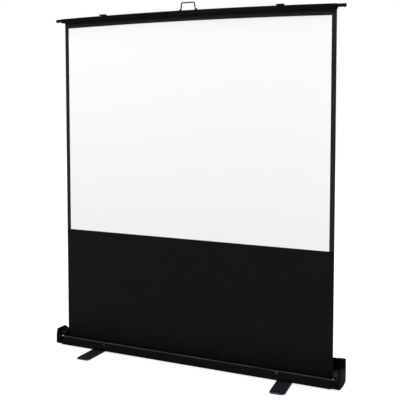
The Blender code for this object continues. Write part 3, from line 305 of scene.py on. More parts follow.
def turned(name, axis, centre, profile, sides=None):
    """Spins a profile of (radius, place along the axis) pairs into a solid.

    A profile that starts on the axis closes at its poles, any other one is a ring."""
    piece = started(name, bpy.ops.mesh.primitive_circle_add, vertices=len(profile),
                    fill_type="NOTHING")
    across, up = centre
    for vert, (radius, along) in zip(piece.data.vertices, profile):
        vert.co = spot(axis, along, across + radius, up)
    edit(piece)
    if not profile[0][0]:
        bpy.ops.mesh.select_all(action="DESELECT")
        leave()
        poles = {0, len(profile) - 1}
        for line in piece.data.edges:
            line.select = set(line.vertices) == poles
        bpy.ops.object.mode_set(mode="EDIT")
        bpy.ops.mesh.select_mode(type="EDGE")
        bpy.ops.mesh.delete(type="EDGE")
        bpy.ops.mesh.select_mode(type="VERT")
        bpy.ops.mesh.select_all(action="SELECT")
    bpy.ops.mesh.spin(steps=sides or look().tube_sides, angle=2 * math.pi,
                      center=spot(axis, 0.0, across, up), axis=spot(axis, 1.0, 0.0, 0.0))
    bpy.ops.mesh.select_all(action="SELECT")
    bpy.ops.mesh.remove_doubles(threshold=SPIN_WELD)
    return outward(piece)


def block(name, low, high):
    """A box from its lowest and highest corners, to be cut and rounded further."""
    low, high = Vector(low), Vector(high)
    piece = started(name, bpy.ops.mesh.primitive_cube_add, size=1.0, location=(low + high) / 2,
                    scale=high - low)
    bpy.ops.object.transform_apply(location=True, rotation=True, scale=True)
    return piece


def rounded(line, steps=5):
    """An outline from corners across and up: a third number is a corner's radius."""
    made = []
    places = [Vector(row[:2]) for row in line]
    for i, (corner, row) in enumerate(zip(places, line)):
        if len(row) < 3:
            made.append(tuple(corner))
            continue
        radius = row[2]
        before = (places[i - 1] - corner).normalized()
        after = (places[(i + 1) % len(line)] - corner).normalized()
        half = before.angle(after) / 2
        reach = radius / math.tan(half)
        centre = corner + (before + after).normalized() * radius / math.sin(half)
        start = corner + before * reach - centre
        sweep = start.angle_signed(corner + after * reach - centre)
        for step in range(steps + 1):
            turn = -sweep * step / steps
            cos, sin = math.cos(turn), math.sin(turn)
            made.append((centre.x + start.x * cos - start.y * sin,
                         centre.y + start.x * sin + start.y * cos))
    return made


def groove(at, along, inward, mouth, floor, depth):
    """Four sharp corners of a groove in an outline: its half widths outside and at its floor."""
    return [(at[0] + along[0] * way + inward[0] * deep, at[1] + along[1] * way + inward[1] * deep)
            for way, deep in ((-mouth, 0.0), (-floor, depth), (floor, depth), (mouth, 0.0))]


def combined(piece, operation, tools):
    for tool in tools:
        applied(piece, "BOOLEAN", object=tool, operation=operation, solver="EXACT")
        bpy.data.objects.remove(tool)
    return piece


def cut(piece, *tools):
    """Takes other solids away from a piece and deletes them."""
    return combined(piece, "DIFFERENCE", tools)


def fused(piece, *others):
    """Joins other solids to a piece as one body."""
    return combined(piece, "UNION", others)


def cleaned(piece, flat=0.3):
    """Merges doubles and flat neighbours, so that edges can be rounded."""
    edit(piece)
    bpy.ops.mesh.remove_doubles(threshold=WELD)
    bpy.ops.mesh.dissolve_limited(angle_limit=math.radians(flat))
    leave()
    return piece


def eased(piece, width, segments=2, sharp=38.0):
    """Rounds the sharp edges and shades the rest smooth."""
    applied(piece, "BEVEL", width=width, segments=segments, limit_method="ANGLE",
            angle_limit=math.radians(sharp), use_clamp_overlap=True)
    return smooth(piece)


def smooth(piece, angle=32.0):
    """Shades a piece smooth while its broad faces stay flat."""
    only(piece)
    bpy.ops.object.shade_smooth_by_angle(angle=math.radians(angle))
    return applied(piece, "WEIGHTED_NORMAL", mode="FACE_AREA", keep_sharp=True)


def mapped(piece, chart):
    """Lays the piece's own map by a rule from a place to metres across and up."""
    for loop, point in zip(piece.data.loops, piece.data.uv_layers[0].data):
        point.uv = chart(piece.data.vertices[loop.vertex_index].co)


def marked(piece):
    """Stores where a piece's rounded edges are, for the finishes that paint them paler, partly as
    scuffing and partly as painted highlight.
    """
    mesh = piece.data
    broad = set()
    for face in mesh.polygons:
        corners = [mesh.vertices[i].co for i in face.vertices]
        around = sum((a - b).length for a, b in zip(corners, corners[1:] + corners[:1]))
        if 2 * face.area / around > EDGE_STRIP:
            broad.update(face.vertices)
    wear_and_highlight = mesh.attributes.new("rounded_edge", "FLOAT", "POINT")
    for point in mesh.vertices:
        wear_and_highlight.data[point.index].value = 0.0 if point.index in broad else 1.0


def copied(node, name):
    """A copy of a solid of the frame, merged and free of its ties."""
    only(nodes[node])
    bpy.ops.object.duplicate()
    piece = bpy.context.object
    piece.name = name
    piece.parent = None
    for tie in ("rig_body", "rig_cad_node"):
        if tie in piece:
            del piece[tie]
    piece.data.materials.clear()
    return cleaned(piece)


def placed(piece, body, material, node):
    """Gives a finished piece its material and its body, and hides the solid that it stands for."""
    piece.data.materials.clear()
    piece.data.materials.append(material)
    marked(piece)
    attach(piece, body)
    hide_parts(node)


def dressed(node, name, body, material, width, segments=2, sharp=38.0):
    """Places a copy of a solid with its edges rounded."""
    piece = eased(copied(node, name), width, segments, sharp)
    placed(piece, body, material, node)


def seat(node):
    """The middle of a solid seen from above, and its lowest and highest corners."""
    low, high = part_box(node)
    return ((low.x + high.x) / 2, (low.y + high.y) / 2), low, high


# Shader groups: each is built once and placed in every material that shows its effect

def group_inputs(name, inputs):
    """An empty group, its input sockets by name; the value's length tells the kind."""
    kinds = {4: "NodeSocketColor", 3: "NodeSocketVector"}
    group = bpy.data.node_groups.new(name, "ShaderNodeTree")
    for label, value in inputs.items():
        kind = kinds[len(value)] if isinstance(value, tuple) else "NodeSocketFloat"
        socket = group.interface.new_socket(label, in_out="INPUT", socket_type=kind)
        socket.default_value = value
    return group, group.nodes.new("NodeGroupInput").outputs


def group_outputs(group, colour, **values):
    """The group's output sockets, fed by these sockets."""
    out = group.nodes.new("NodeGroupOutput")
    for label, source in {"Color": colour, **values}.items():
        kind = "NodeSocketColor" if label == "Color" else "NodeSocketFloat"
        group.interface.new_socket(label, in_out="OUTPUT", socket_type=kind)
        group.links.new(source, out.inputs[label])
    return group


def add(tree, kind, links=(), **values):
    """A node whose inputs take plain values or other nodes' sockets, by name or place."""
    node = tree.nodes.new(kind)
    for name, value in values.items():
        setattr(node, name, value)
    for key, value in dict(links).items():
        socket = node.inputs[key]
        if isinstance(value, bpy.types.NodeSocket):
            tree.links.new(value, socket)
        else:
            socket.default_value = value
    return node


def mixed(tree, share, one, two):
    """A colour mix, as its output socket."""
    return add(tree, "ShaderNodeMix", {0: share, 6: one, 7: two}, data_type="RGBA").outputs[2]


def ramped(tree, value, low, high):
    """A value stretched so that low becomes 0 and high becomes 1."""
    return add(tree, "ShaderNodeMapRange", {0: value, 1: low, 2: high}).outputs[0]


def maths(tree, operation, one, two=0.0):
    return add(tree, "ShaderNodeMath", {0: one, 1: two}, operation=operation).outputs[0]


def times(tree, one, two):
    return maths(tree, "MULTIPLY", one, two)


def plus(tree, one, two):
    return maths(tree, "ADD", one, two)


def varied(tree, value, source, spread):
    """A value that goes up and down by a spread, as the source does around its middle."""
    return plus(tree, value, times(tree, maths(tree, "SUBTRACT", source, 0.5), spread))


def vectors(tree, operation, one, two):
    return add(tree, "ShaderNodeVectorMath", {0: one, 1: two}, operation=operation).outputs[0]


def scaled(tree, colour, share):
    """A colour made lighter or darker by a share."""
    return add(tree, "ShaderNodeVectorMath", {0: colour, 3: share}, operation="SCALE").outputs[0]


def noise(tree, where, scale, detail=2.0, rough=0.5):
    links = {"Vector": where, "Scale": scale, "Detail": detail, "Roughness": rough}
    return add(tree, "ShaderNodeTexNoise", links).outputs[0]


def place_of(tree, kind="Object"):
    return add(tree, "ShaderNodeTexCoord").outputs[kind]


def facing(tree, normal, axis):
    """How much a surface faces along an axis, from its normal of this kind."""
    geometry = add(tree, "ShaderNodeNewGeometry")
    return add(tree, "ShaderNodeSeparateXYZ", {0: geometry.outputs[normal]}).outputs[axis]


def seen(tree):
    """1 where the camera, gloss or glass looks at it, 0 where it only lights."""
    path = add(tree, "ShaderNodeLightPath").outputs
    through = maths(tree, "MAXIMUM", path["Is Glossy Ray"], path["Is Transmission Ray"])
    return maths(tree, "MAXIMUM", path["Is Camera Ray"], through)


def grey(tone):
    return (tone, tone, tone, 1.0)


def coated_group(name):
    """Fine texture of paint and powder coat, with soft clouding and paler rounded edges, partly
    scuffing and partly painted highlight.
    """
    group, given = group_inputs(name, {
        "Color": grey(0.1), "Edge Scuff And Highlight Color": grey(0.1), "Roughness": 0.4, "Grain Scale": 1500.0,
        "Edge Scuff And Highlight": 0.3, "Speckle": 0.15})
    where = place_of(group)
    grain = noise(group, where, given["Grain Scale"], 3.0, 0.6)
    cloud = noise(group, where, 9.0, 4.0, 0.55)
    fine = noise(group, where, 120.0, 3.0, 0.6)
    edge = add(group, "ShaderNodeAttribute", attribute_name="rounded_edge").outputs["Fac"]
    # Paler rounded edges: partly scuffing, partly painted highlight.
    worn_and_highlit = times(group, times(group, edge, given["Edge Scuff And Highlight"]), ramped(group, fine, 0.35, 0.65))
    dots = ramped(group, noise(group, where, 75.0, 2.0, 0.6), 0.35, 0.65)
    dots = plus(group, times(group, dots, given["Speckle"]), 0.8)
    shade = times(group, plus(group, times(group, cloud, 0.36), 0.82), dots)
    base = scaled(group, given["Color"], shade)
    return group_outputs(group, mixed(group, worn_and_highlit, base, given["Edge Scuff And Highlight Color"]),
                         Roughness=varied(group, given["Roughness"], fine, 0.16), Height=grain)


def woven_group(name):
    """Threads of a coated cloth on the piece's own map, with faint clouding."""
    group, given = group_inputs(name, {
        "Color": grey(0.1), "Pitch": 0.001, "Contrast": 0.3, "Mottle": 0.0, "Roughness": 0.8})
    where = place_of(group, "UV")
    parts = add(group, "ShaderNodeSeparateXYZ", {0: where}).outputs
    turn = maths(group, "DIVIDE", math.pi, given["Pitch"])
    warp, weft = (maths(group, "ABSOLUTE", maths(group, "SINE", times(group, parts[i], turn)))
                  for i in (0, 1))
    cloud = noise(group, where, 5.0, 4.0, 0.6)
    drawn = add(group, "ShaderNodeMapping", {0: where, 3: (40.0, 900.0, 1.0)}).outputs[0]
    uneven = plus(group, cloud, times(group, noise(group, drawn, 1.0), 0.4))
    uneven = maths(group, "SUBTRACT", uneven, 0.7)
    shade = plus(group, 1.0, times(group, given["Contrast"], uneven))
    shade = varied(group, shade, noise(group, where, 42.0, 3.0, 0.6), given["Mottle"])
    return group_outputs(group, scaled(group, given["Color"], shade),
                         Roughness=varied(group, given["Roughness"], cloud, 0.2),
                         Height=times(group, warp, weft))


def brushed_group(name):
    """Fine lines drawn out along one direction, as on drawn tube and rolled strip."""
    group, given = group_inputs(name, {
        "Color": grey(0.6), "Roughness": 0.3, "Stretch": (1.0, 1.0, 0.02), "Scale": 1400.0})
    where = place_of(group)
    line = noise(group, vectors(group, "MULTIPLY", where, given["Stretch"]), given["Scale"],
                 4.0, 0.6)
    cloud = noise(group, where, 22.0, 3.0, 0.55)
    shade = plus(group, times(group, line, 0.22), times(group, cloud, 0.16))
    return group_outputs(group, scaled(group, given["Color"], plus(group, 0.80, shade)),
                         Roughness=varied(group, given["Roughness"], cloud, 0.25), Height=line)


def rubbed_line_group(name):
    """A painted highlight: a paler line along X; end faces stay clear."""
    group, given = group_inputs(name, {
        "Color": grey(0.1), "Line Color": grey(0.1), "Place": (0.0, 0.0, 0.0), "Width": 0.003})
    where = place_of(group)
    across = vectors(group, "MULTIPLY", where, (0.0, 1.0, 1.0))
    far = add(group, "ShaderNodeVectorMath", {0: across, 1: given["Place"]},
              operation="DISTANCE").outputs["Value"]
    near = add(group, "ShaderNodeMapRange", {0: far, 1: 0.0, 2: given["Width"], 3: 1.0, 4: 0.0},
               interpolation_type="SMOOTHSTEP").outputs[0]
    drawn = vectors(group, "MULTIPLY", where, (6.0, 60.0, 60.0))
    uneven = ramped(group, noise(group, drawn, 1.0, 4.0, 0.6), 0.2, 0.6)
    aside = maths(group, "ABSOLUTE", facing(group, "True Normal", "X"))
    share = times(group, times(group, near, uneven), ramped(group, aside, 0.75, 0.25))
    return group_outputs(group, mixed(group, share, given["Color"], given["Line Color"]))


def dust_group(name):
    """A thin veil of dust where a surface faces up."""
    group, given = group_inputs(name, {"Color": grey(0.1), "Amount": 0.1})
    up = ramped(group, facing(group, "Normal", "Z"), 0.3, 1.0)
    speck = ramped(group, noise(group, place_of(group), 60.0, 6.0, 0.7), 0.35, 0.75)
    veil = times(group, times(group, up, speck), given["Amount"])
    return group_outputs(group, mixed(group, veil, given["Color"], (0.30, 0.29, 0.27, 1.0)))


GROUPS = {"Coated Surface": coated_group, "Woven Cloth": woven_group,
          "Brushed Metal": brushed_group, "Settled Dust": dust_group,
          "Highlight Line": rubbed_line_group}


def effect(tree, name, values):
    """The named group as a node of this tree, with its values."""
    group = bpy.data.node_groups.get(name) or GROUPS[name](name)
    return add(tree, "ShaderNodeGroup", values, node_tree=group)


def finish(name, kind, values, relief, plain, dust=0.0, rubbed=()):
    """A material with one effect group, a bump from its height and plain shader values.

    Each painted highlight line along X is given as its place, its width and its colour."""
    made = bpy.data.materials.get(name)
    if made:
        return made
    made = bpy.data.materials.new(name)
    made.use_nodes = True
    tree = made.node_tree
    worked = effect(tree, kind, values).outputs
    colour = worked["Color"]
    for place, width, tone in rubbed:
        colour = effect(tree, "Highlight Line", {
            "Color": colour, "Place": place, "Width": width, "Line Color": tone}).outputs[0]
    if dust:
        colour = effect(tree, "Settled Dust", {"Color": colour, "Amount": dust}).outputs[0]
    bump = add(tree, "ShaderNodeBump", {"Strength": 0.35, "Distance": relief,
                                        "Height": worked["Height"]})
    shader = tree.nodes["Principled BSDF"]
    for label, source in (("Base Color", colour), ("Roughness", worked["Roughness"]),
                          ("Normal", bump.outputs[0])):
        tree.links.new(source, shader.inputs[label])
    for label, value in plain.items():
        shader.inputs[label].default_value = value
    made.diffuse_color = values["Color"]
    return made


def solid(colour):
    return (*colour, 1.0)


def coated(name, colour, pale, relief, gloss, roughness, grain, wear_and_highlight, speckle=0.15, **more):
    """A coat of paint or a moulded skin, its rounded edges paler, partly as scuffing and partly as
    painted highlight.
    """
    return finish(name, "Coated Surface", {
        "Color": colour, "Edge Scuff And Highlight Color": pale, "Roughness": roughness, "Grain Scale": grain,
        "Edge Scuff And Highlight": wear_and_highlight, "Speckle": speckle}, relief, {"Specular IOR Level": gloss}, **more)


def brushed(name, colour, relief, roughness, stretch, scale):
    """Bare metal with fine lines along the axis that is stretched least."""
    return finish(name, "Brushed Metal", {
        "Color": colour, "Roughness": roughness, "Stretch": stretch, "Scale": scale},
        relief, {"Metallic": 1.0})


def coated_black(name="coated_black", rubbed=()):
    return coated(name, solid(look().case_colour), grey(0.04), 0.00004, gloss=0.035,
                  roughness=0.30, grain=1400.0, wear_and_highlight=0.4, dust=0.004, rubbed=rubbed)


def ridge_highlight(width, tone):
    """A painted highlight: a paler line along the front ridge of the case."""
    return (0.0, tray_low.y + RIDGE_SETBACK + 0.0002, tray_high.z - 0.0006), width, grey(tone)


def highlit_ridge_black():
    """The coat of the tray, with a painted highlight along its front ridge."""
    return coated_black("highlit_ridge_black", [ridge_highlight(0.0066, 0.066)])


def moulded_black(name="satin_moulding", wear_and_highlight=0.6, rubbed=()):
    # Pale rounded edges of the mouldings: partly scuffing, partly painted highlight.
    return coated(name, solid(look().plastic_colour), (0.085, 0.088, 0.09, 1.0), 0.00001,
                  gloss=0.0015, roughness=0.42, grain=2600.0, wear_and_highlight=wear_and_highlight, dust=0.003,
                  rubbed=rubbed)


def cap_black(side):
    """A cap's moulding, with painted highlights along the ridge and over the shoulder, the
    shoulder one wider and brighter on the right cap.
    """
    # Painted highlight over the shoulder, wider and brighter on the right cap than on the left.
    width, tone = (0.012, 0.022) if side == "left" else (0.025, 0.042)
    place = (0.0, SHOULDER_HIGHLIGHT[0], CASE_BOTTOM + SHOULDER_HIGHLIGHT[1])
    shoulder_highlight = (place, width, (tone, tone * 1.06, tone * 1.12, 1.0))
    return moulded_black(f"cap_moulding_highlit_{side}", rubbed=[shoulder_highlight, ridge_highlight(0.0045, 0.050)])


def latch_black():
    return coated("latch_black", grey(0.004), grey(0.07), 0.00003, gloss=0.05,
                  roughness=0.38, grain=2000.0, wear_and_highlight=0.5)


def foot_paint():
    """Textured paint, with a painted highlight across the top at both ends of a foot."""
    low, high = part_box("foot_left")
    # Painted highlight: paler lines across the top at both ends of the foot.
    highlit_ends = [((0.0, y, high.z), 0.014, (0.062, 0.062, 0.066, 1.0))
                 for y in (low.y + 0.004, high.y - 0.004)]
    # Pale rounded edges of the feet: partly scuffing, partly painted highlight.
    return coated("textured_foot_paint", solid(look().foot_colour), (0.17, 0.17, 0.175, 1.0),
                  0.00009, gloss=0.06, roughness=0.46, grain=900.0, wear_and_highlight=0.9, speckle=0.9,
                  dust=0.01, rubbed=highlit_ends)


def dark_wire():
    return coated("dark_wire", grey(0.005), grey(0.10), 0.00003, gloss=0.05,
                  roughness=0.32, grain=1800.0, wear_and_highlight=0.4)


def pad_rubber():
    return coated("pad_rubber", grey(0.010), grey(0.03), 0.0001, gloss=0.15,
                  roughness=0.8, grain=700.0, wear_and_highlight=0.4, dust=0.05)


def keeper_metal():
    return brushed("keeper_metal", (0.022, 0.022, 0.023, 1.0), 0.00002, 0.34, (0.05, 1, 1), 2200.0)


def zinc_steel():
    return brushed("plated_steel", (0.36, 0.36, 0.37, 1.0), 0.00002, 0.30, (1, 0.1, 1), 1600.0)


def screw_steel():
    return brushed("screw_steel", grey(0.72), 0.00001, 0.16, (1, 1, 1), 2400.0)


def drawn_aluminium():
    return brushed("drawn_aluminium", (0.42, 0.43, 0.44, 1.0), 0.00003, 0.30, (1, 1, 0.015),
                   1500.0)


def black_cloth():
    """The black cloth: a paler border around the white surface and a darker drop below it, with
    painted shade darkening the drop towards the case.
    """
    made = bpy.data.materials.get("black_cloth")
    if made:
        return made
    made = finish("black_cloth", "Woven Cloth", {
        "Color": solid(look().drop_colour), "Pitch": look().weave_pitch, "Contrast": 0.50,
        "Mottle": 1.1, "Roughness": 0.72},
        0.00012, {"Specular IOR Level": 0.03, "Sheen Weight": 0.01})
    tree = made.node_tree
    worked = next(n for n in tree.nodes if n.bl_idname == "ShaderNodeGroup")
    height = add(tree, "ShaderNodeSeparateXYZ", {0: place_of(tree, "UV")}).outputs["Y"]
    front = maths(tree, "LESS_THAN", facing(tree, "True Normal", "Y"), 0.5)
    upper = times(tree, front, ramped(tree, height, white_low.z - 0.004, white_low.z + 0.004))
    # Painted shade: the drop darkens towards the case at its foot.
    shade = add(tree, "ShaderNodeMapRange", {
        0: height, 1: tray_high.z - 0.02, 2: tray_high.z + 0.16, 3: 0.55, 4: 1.0}).outputs[0]
    drop = scaled(tree, Vector(look().drop_colour), shade)
    tree.links.new(mixed(tree, upper, drop, solid(look().border_colour)),
                   worked.inputs["Color"])
    return made


def white_coat():
    return finish("white_coat", "Woven Cloth", {
        "Color": solid(look().white_colour), "Pitch": look().weave_pitch / 2,
        "Contrast": 0.012, "Roughness": 0.88}, 0.00003, {"Specular IOR Level": 0.15})


# Cloth

def bow(x):
    """How far the bowed bar stands above its ends at x."""
    return BAR_BOW * (1 - (x / FABRIC_HALF) ** 2)


def off_plane(x, z):
    """How far the stretched cloth leaves its plane: nothing at the bar and in the slot."""
    low, high = tray_high.z, bar_low.z
    share = min(1.0, max(0.0, (z - low) / (high - low)))
    wave = sum(height * math.sin(along * x + up * share + start)
               for height, along, up, start in WAVES)
    curl = max(0.0, (abs(x) / FABRIC_HALF - CURL_START) / (1 - CURL_START)) ** 2
    return look().ripple * math.sin(math.pi * share) * (WAVE_SHARE * wave + CURL_SHARE * curl)


def cloth(name, half, bottom, top, centre, thickness, grid):
    """A thin stretched sheet with a map in metres; its top follows the bowed bar."""
    piece = started(name, bpy.ops.mesh.primitive_grid_add, x_subdivisions=grid[0],
                    y_subdivisions=grid[1], size=1.0)
    for vert in piece.data.vertices:
        x = vert.co.x * 2 * half
        z = bottom + (top + bow(x) - bottom) * (vert.co.y + 0.5)
        vert.co = (x, centre + off_plane(x, z), z)
    mapped(piece, lambda place: (place.x, place.z))
    edit(piece)
    outward(piece)
    applied(piece, "SOLIDIFY", thickness=thickness, offset=0.0, use_even_offset=True)
    return smooth(piece, 60.0)


class SCREEN_OT_cloth(bpy.types.Operator):
    """Black cloth, white viewing surface and the cloth left on the roller"""

    bl_idname = "screen.cloth"
    bl_label = "Cloth"

    def execute(self, context):
        top, bottom = sheet_high.z - BAR_BOW, ROLL_AXIS[1]
        drop = cloth("screen_cloth", FABRIC_HALF, bottom, top, 0.0, look().cloth_thickness,
                     CLOTH_GRID)
        placed(drop, "root", black_cloth(), "fabric_sheet")
        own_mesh(drop)

        half, rim = white_high.x, white_high.z - bow(0.0)
        face = cloth("white_surface_sheet", half, white_low.z, rim,
                     (white_low.y + white_high.y) / 2, look().coat_thickness, WHITE_GRID)
        placed(face, "root", white_coat(), "white_surface")
        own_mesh(face)
        self.windings()
        return {"FINISHED"}

    def windings(self):
        """The turns of cloth on the tube, as one strip wound inwards from the front."""
        across, up = ROLL_AXIS
        outer, inner, length, last = [], [], 0.0, None
        for i in range(int(TURNS * TURN_STEPS) + 1):
            turn = math.pi + 2 * math.pi * i / TURN_STEPS
            radius = ROLL_RADIUS - PLY_PITCH * i / TURN_STEPS
            for side, r in ((outer, radius), (inner, radius - PLY)):
                side.append((across + r * math.cos(turn), up + r * math.sin(turn)))
            middle = Vector(outer[-1]).lerp(Vector(inner[-1]), 0.5)
            length += (middle - last).length if last else 0.0
            last = middle
        strip = pushed("cloth_windings", outer + inner[::-1], "X", -FABRIC_HALF, FABRIC_HALF)
        mapped(strip, lambda place: (
            place.x, ROLL_RADIUS * math.atan2(place.z - up, place.y - across)))
        placed(smooth(strip), "roller", black_cloth(), "fabric_roll")


# Case: each section is a list of corners across and up, with a radius where one is rounded

def tray_section():
    """The tray's section: plinth, groove, sloping front, rounded ridge and ribbed deck."""
    front, rear, low = tray_low.y, tray_high.y, tray_low.z
    ridge_y, ridge_z = front + RIDGE_SETBACK, tray_high.z
    slot_y, slot_z = TRAY_SLOT[0], ridge_z - TRAY_SLOT[1]
    sill = low + TRAY_GROOVE
    return [
        (front, low, 0.0010), (front, sill, 0.0008),
        (front + 0.002, sill + 0.0003, 0.0004), (front + 0.002, sill + 0.0032, 0.0004),
        (front + 0.001, sill + 0.0035, 0.0006),
        (ridge_y - 0.0018, ridge_z + 0.0004, look().ridge_round),
        (ridge_y + 0.0120, ridge_z - 0.0010), (ridge_y + 0.0126, ridge_z - 0.0017),
        (ridge_y + 0.0136, ridge_z - 0.0018), (ridge_y + 0.0142, ridge_z - 0.0013),
        (slot_y, slot_z, 0.0011), (slot_y, slot_z - WALL, 0.0011),
        (ridge_y + 0.0030, ridge_z - WALL - 0.0006, 0.0014),
        (front + WALL + 0.002, sill + 0.004, 0.0012),
        (front + WALL + 0.002, low + TRAY_FLOOR, 0.0010),
        (rear, low + TRAY_FLOOR), (rear, low, 0.0006),
    ]


def cover_section():
    """The cover's section: hooked slot lip, ribbed deck, rear wall and its flange."""
    front, rear, low, deck = cover_low.y, cover_high.y, cover_low.z, cover_high.z
    lip, divide = deck - COVER_LIP, rear - COVER_FLANGE
    ribs = []
    for share in COVER_RIBS:
        ribs += groove((front + (divide - front) * share, deck), (1, 0), (0, -1),
                       0.0009, 0.0005, 0.0005)
    return [
        (front, lip, 0.0008), (front, deck, 0.0030), *ribs,
        (divide, deck, 0.0030), (divide, low + WALL, 0.0012), (rear, low + WALL, 0.0010),
        (rear, low), (divide - WALL, low), (divide - WALL, deck - WALL, 0.0012),
        (front + WALL, deck - WALL, 0.0012), (front + WALL, lip, 0.0008),
    ]


def back_section():
    """The rear wall's section: beaded rim, two shallow grooves outside and a bottom flange."""
    low, high, rear = back_low.z, back_high.z, back_high.y
    inner = rear - WALL
    grooves = []
    for share in BACK_GROOVES:
        grooves += groove((rear, low + (high - low) * share), (0, 1), (-1, 0),
                          0.0016, 0.0010, 0.0007)
    return [
        (rear, low, 0.0008), *grooves, (rear, high, 0.0014),
        (inner - 0.0008, high, 0.0007), (inner - 0.0008, high - 0.004, 0.0004),
        (inner, high - 0.0046), (inner, low + WALL, 0.0012),
        (back_low.y, low + WALL, 0.0010), (back_low.y, low),
    ]


class SCREEN_OT_case(bpy.types.Operator):
    """Tray, roller cover and rear wall of the case"""

    bl_idname = "screen.case"
    bl_label = "Case"

    def execute(self, context):
        tray, cover, back = (
            pushed(name, rounded(section), "X", -CASE_HALF, CASE_HALF) for name, section in (
                ("case_tray", tray_section()), ("case_cover", cover_section()),
                ("case_back", back_section())))
        for side in SIDES:
            low, high = CASE_BOTTOM - OVERRUN, CASE_BOTTOM + OVERRUN
            profile = [(0.0, low), (PIVOT_RADIUS, low), (PIVOT_RADIUS, high), (0.0, high)]
            cut(tray, turned("pivot_hole", "Z", seat(f"foot_rivet_{side}")[0], profile, 32))
        placed(smooth(tray), "root", highlit_ridge_black(), "base_tray")
        placed(smooth(cover), "root", coated_black(), "roller_cover")
        placed(smooth(back), "root", coated_black(), "rear_housing")
        return {"FINISHED"}


class SCREEN_OT_caps(bpy.types.Operator):
    """Moulded end caps with their scoops, and the screws on the ridge"""

    bl_idname = "screen.caps"
    bl_label = "End caps"

    def execute(self, context):
        for side in SIDES:
            self.cap(side)
            self.screw(side)
        return {"FINISHED"}

    def cap(self, side):
        node = f"end_cap_{side}"
        low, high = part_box(node)
        sign = -1 if side == "left" else 1
        inner, outer = sorted((abs(low.x), abs(high.x)))
        cap = copied(node, f"cap_{side}")
        half = (outer - CAP_RIM - inner) / 2
        middle, reach = sign * (inner + half), half - SCOOP_MARGIN
        scoop, slot = (
            block(name, (middle - reach, near[0], CASE_BOTTOM + near[1]),
                  (middle + reach, far[0], CASE_BOTTOM + far[1]))
            for name, (near, far) in (("scoop", SCOOP), ("cap_slot", CAP_SLOT)))
        edit(scoop)
        bpy.ops.mesh.bevel(offset=SCOOP_ROUND, segments=6, affect="EDGES")
        leave()
        seam_x = sign * (outer - CAP_RIM)
        seam = block("seam", (seam_x - SEAM_HALF, low.y - OVERRUN, low.z - OVERRUN),
                     (seam_x + SEAM_HALF, low.y + SEAM_DEPTH, CASE_BOTTOM + SEAM_TOP))
        cut(cap, scoop, slot, seam)
        eased(cleaned(cap), look().edge_round, 3, 40.0)
        placed(cap, "root", cap_black(side), node)

    def screw(self, side):
        node = f"cap_screw_{side}"
        at, low, high = seat(node)
        radius, rise = (high.x - low.x) / 2, high.z - low.z
        arc = []
        for i in range(SCREW_STEPS):
            turn = math.pi / 2 * i / SCREW_STEPS
            lift = SCREW_RIM + (1 - SCREW_RIM) * math.sin(turn)
            arc.append((radius * math.cos(turn), low.z + rise * lift))
        head = turned(f"ridge_screw_{side}", "Z", at,
                      [(0.0, low.z), (radius, low.z), *arc, (0.0, high.z)], 40)
        for wide, deep in ((CROSS_LONG, CROSS_HALF), (CROSS_HALF, CROSS_LONG)):
            cut(head, block("cross", (at[0] - wide, at[1] - deep, high.z - rise / 2),
                            (at[0] + wide, at[1] + deep, high.z + OVERRUN)))
        placed(smooth(head), "root", screw_steel(), node)


# Bar

class SCREEN_OT_bar(bpy.types.Operator):
    """Bowed top bar with its moulded ends"""

    bl_idname = "screen.bar"
    bl_label = "Top bar"

    def execute(self, context):
        front, rear = bar_low.y, bar_high.y
        low, high = bar_low.z, bar_low.z + BAR_HEIGHT
        ahead, behind = front + BAR_WALL, rear - BAR_WALL
        floor, roof = low + BAR_WALL, high - BAR_WALL
        section = [
            (-BAR_SLOT, low, 0.0006), (front, low, 0.0016),
            *groove((front, low + 0.0100), (0, 1), (1, 0), 0.0015, 0.0008, 0.0009),
            (front, high, 0.0026),
            *groove((front + 0.014, high), (1, 0), (0, -1), 0.001, 0.0006, 0.0005),
            (rear, high, 0.0022), (rear, low, 0.0016), (BAR_SLOT, low, 0.0006),
            (BAR_SLOT, floor), (behind, floor, 0.0008), (behind, roof, 0.0008),
            (ahead, roof, 0.0008), (ahead, floor, 0.0008), (-BAR_SLOT, floor),
        ]
        places = [BAR_HALF * (2 * i / BAR_STEPS - 1) for i in range(BAR_STEPS + 1)]
        bar = outlined("bar_extrusion", rounded(section, 4), "X", [(x, bow(x)) for x in places])
        placed(smooth(bar), "bar", coated_black(), "top_bar")
        for side in SIDES:
            self.end(side)
        return {"FINISHED"}

    def end(self, side):
        node = f"bar_end_{side}"
        low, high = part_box(node)
        sign = -1 if side == "left" else 1
        face, tip = sorted((abs(low.x), abs(high.x)))
        front, rear, top = low.y, high.y, high.z
        section = [(front, low.z, END_ROUND), (rear, low.z, END_ROUND), (rear, top, END_ROUND),
                   (front, top, END_ROUND)]
        plate = pushed(f"bar_tip_{side}", rounded(section), "X", sign * face,
                       sign * (face + END_PLATE))
        centre, knob = (front + rear) / 2, tip - KNOB_LENGTH
        root = knob + KNOB_SEAT
        stem = [(radius, face + out) for radius, out in END_NECK]
        stem += [(stem[-1][0], root), (0.0, root)]
        neck = turned("neck", "X", (centre, top - NECK_DROP), [(r, sign * x) for r, x in stem])
        end = turned("pin_end", "X", (centre, top - KNOB_RADIUS),
                     [(r, sign * (knob + x)) for r, x in KNOB])
        near, far = sorted(sign * (face + out) for out in COLLAR_OUT)
        collar = block("collar", (near, centre - COLLAR_HALF, top - COLLAR_DROP[0]),
                       (far, centre + COLLAR_HALF, top - COLLAR_DROP[1]))
        fused(plate, collar, neck, end)
        eased(cleaned(plate), 0.0005, 2, 45.0)
        placed(plate, "bar", moulded_black("end_moulding", 0.15), node)


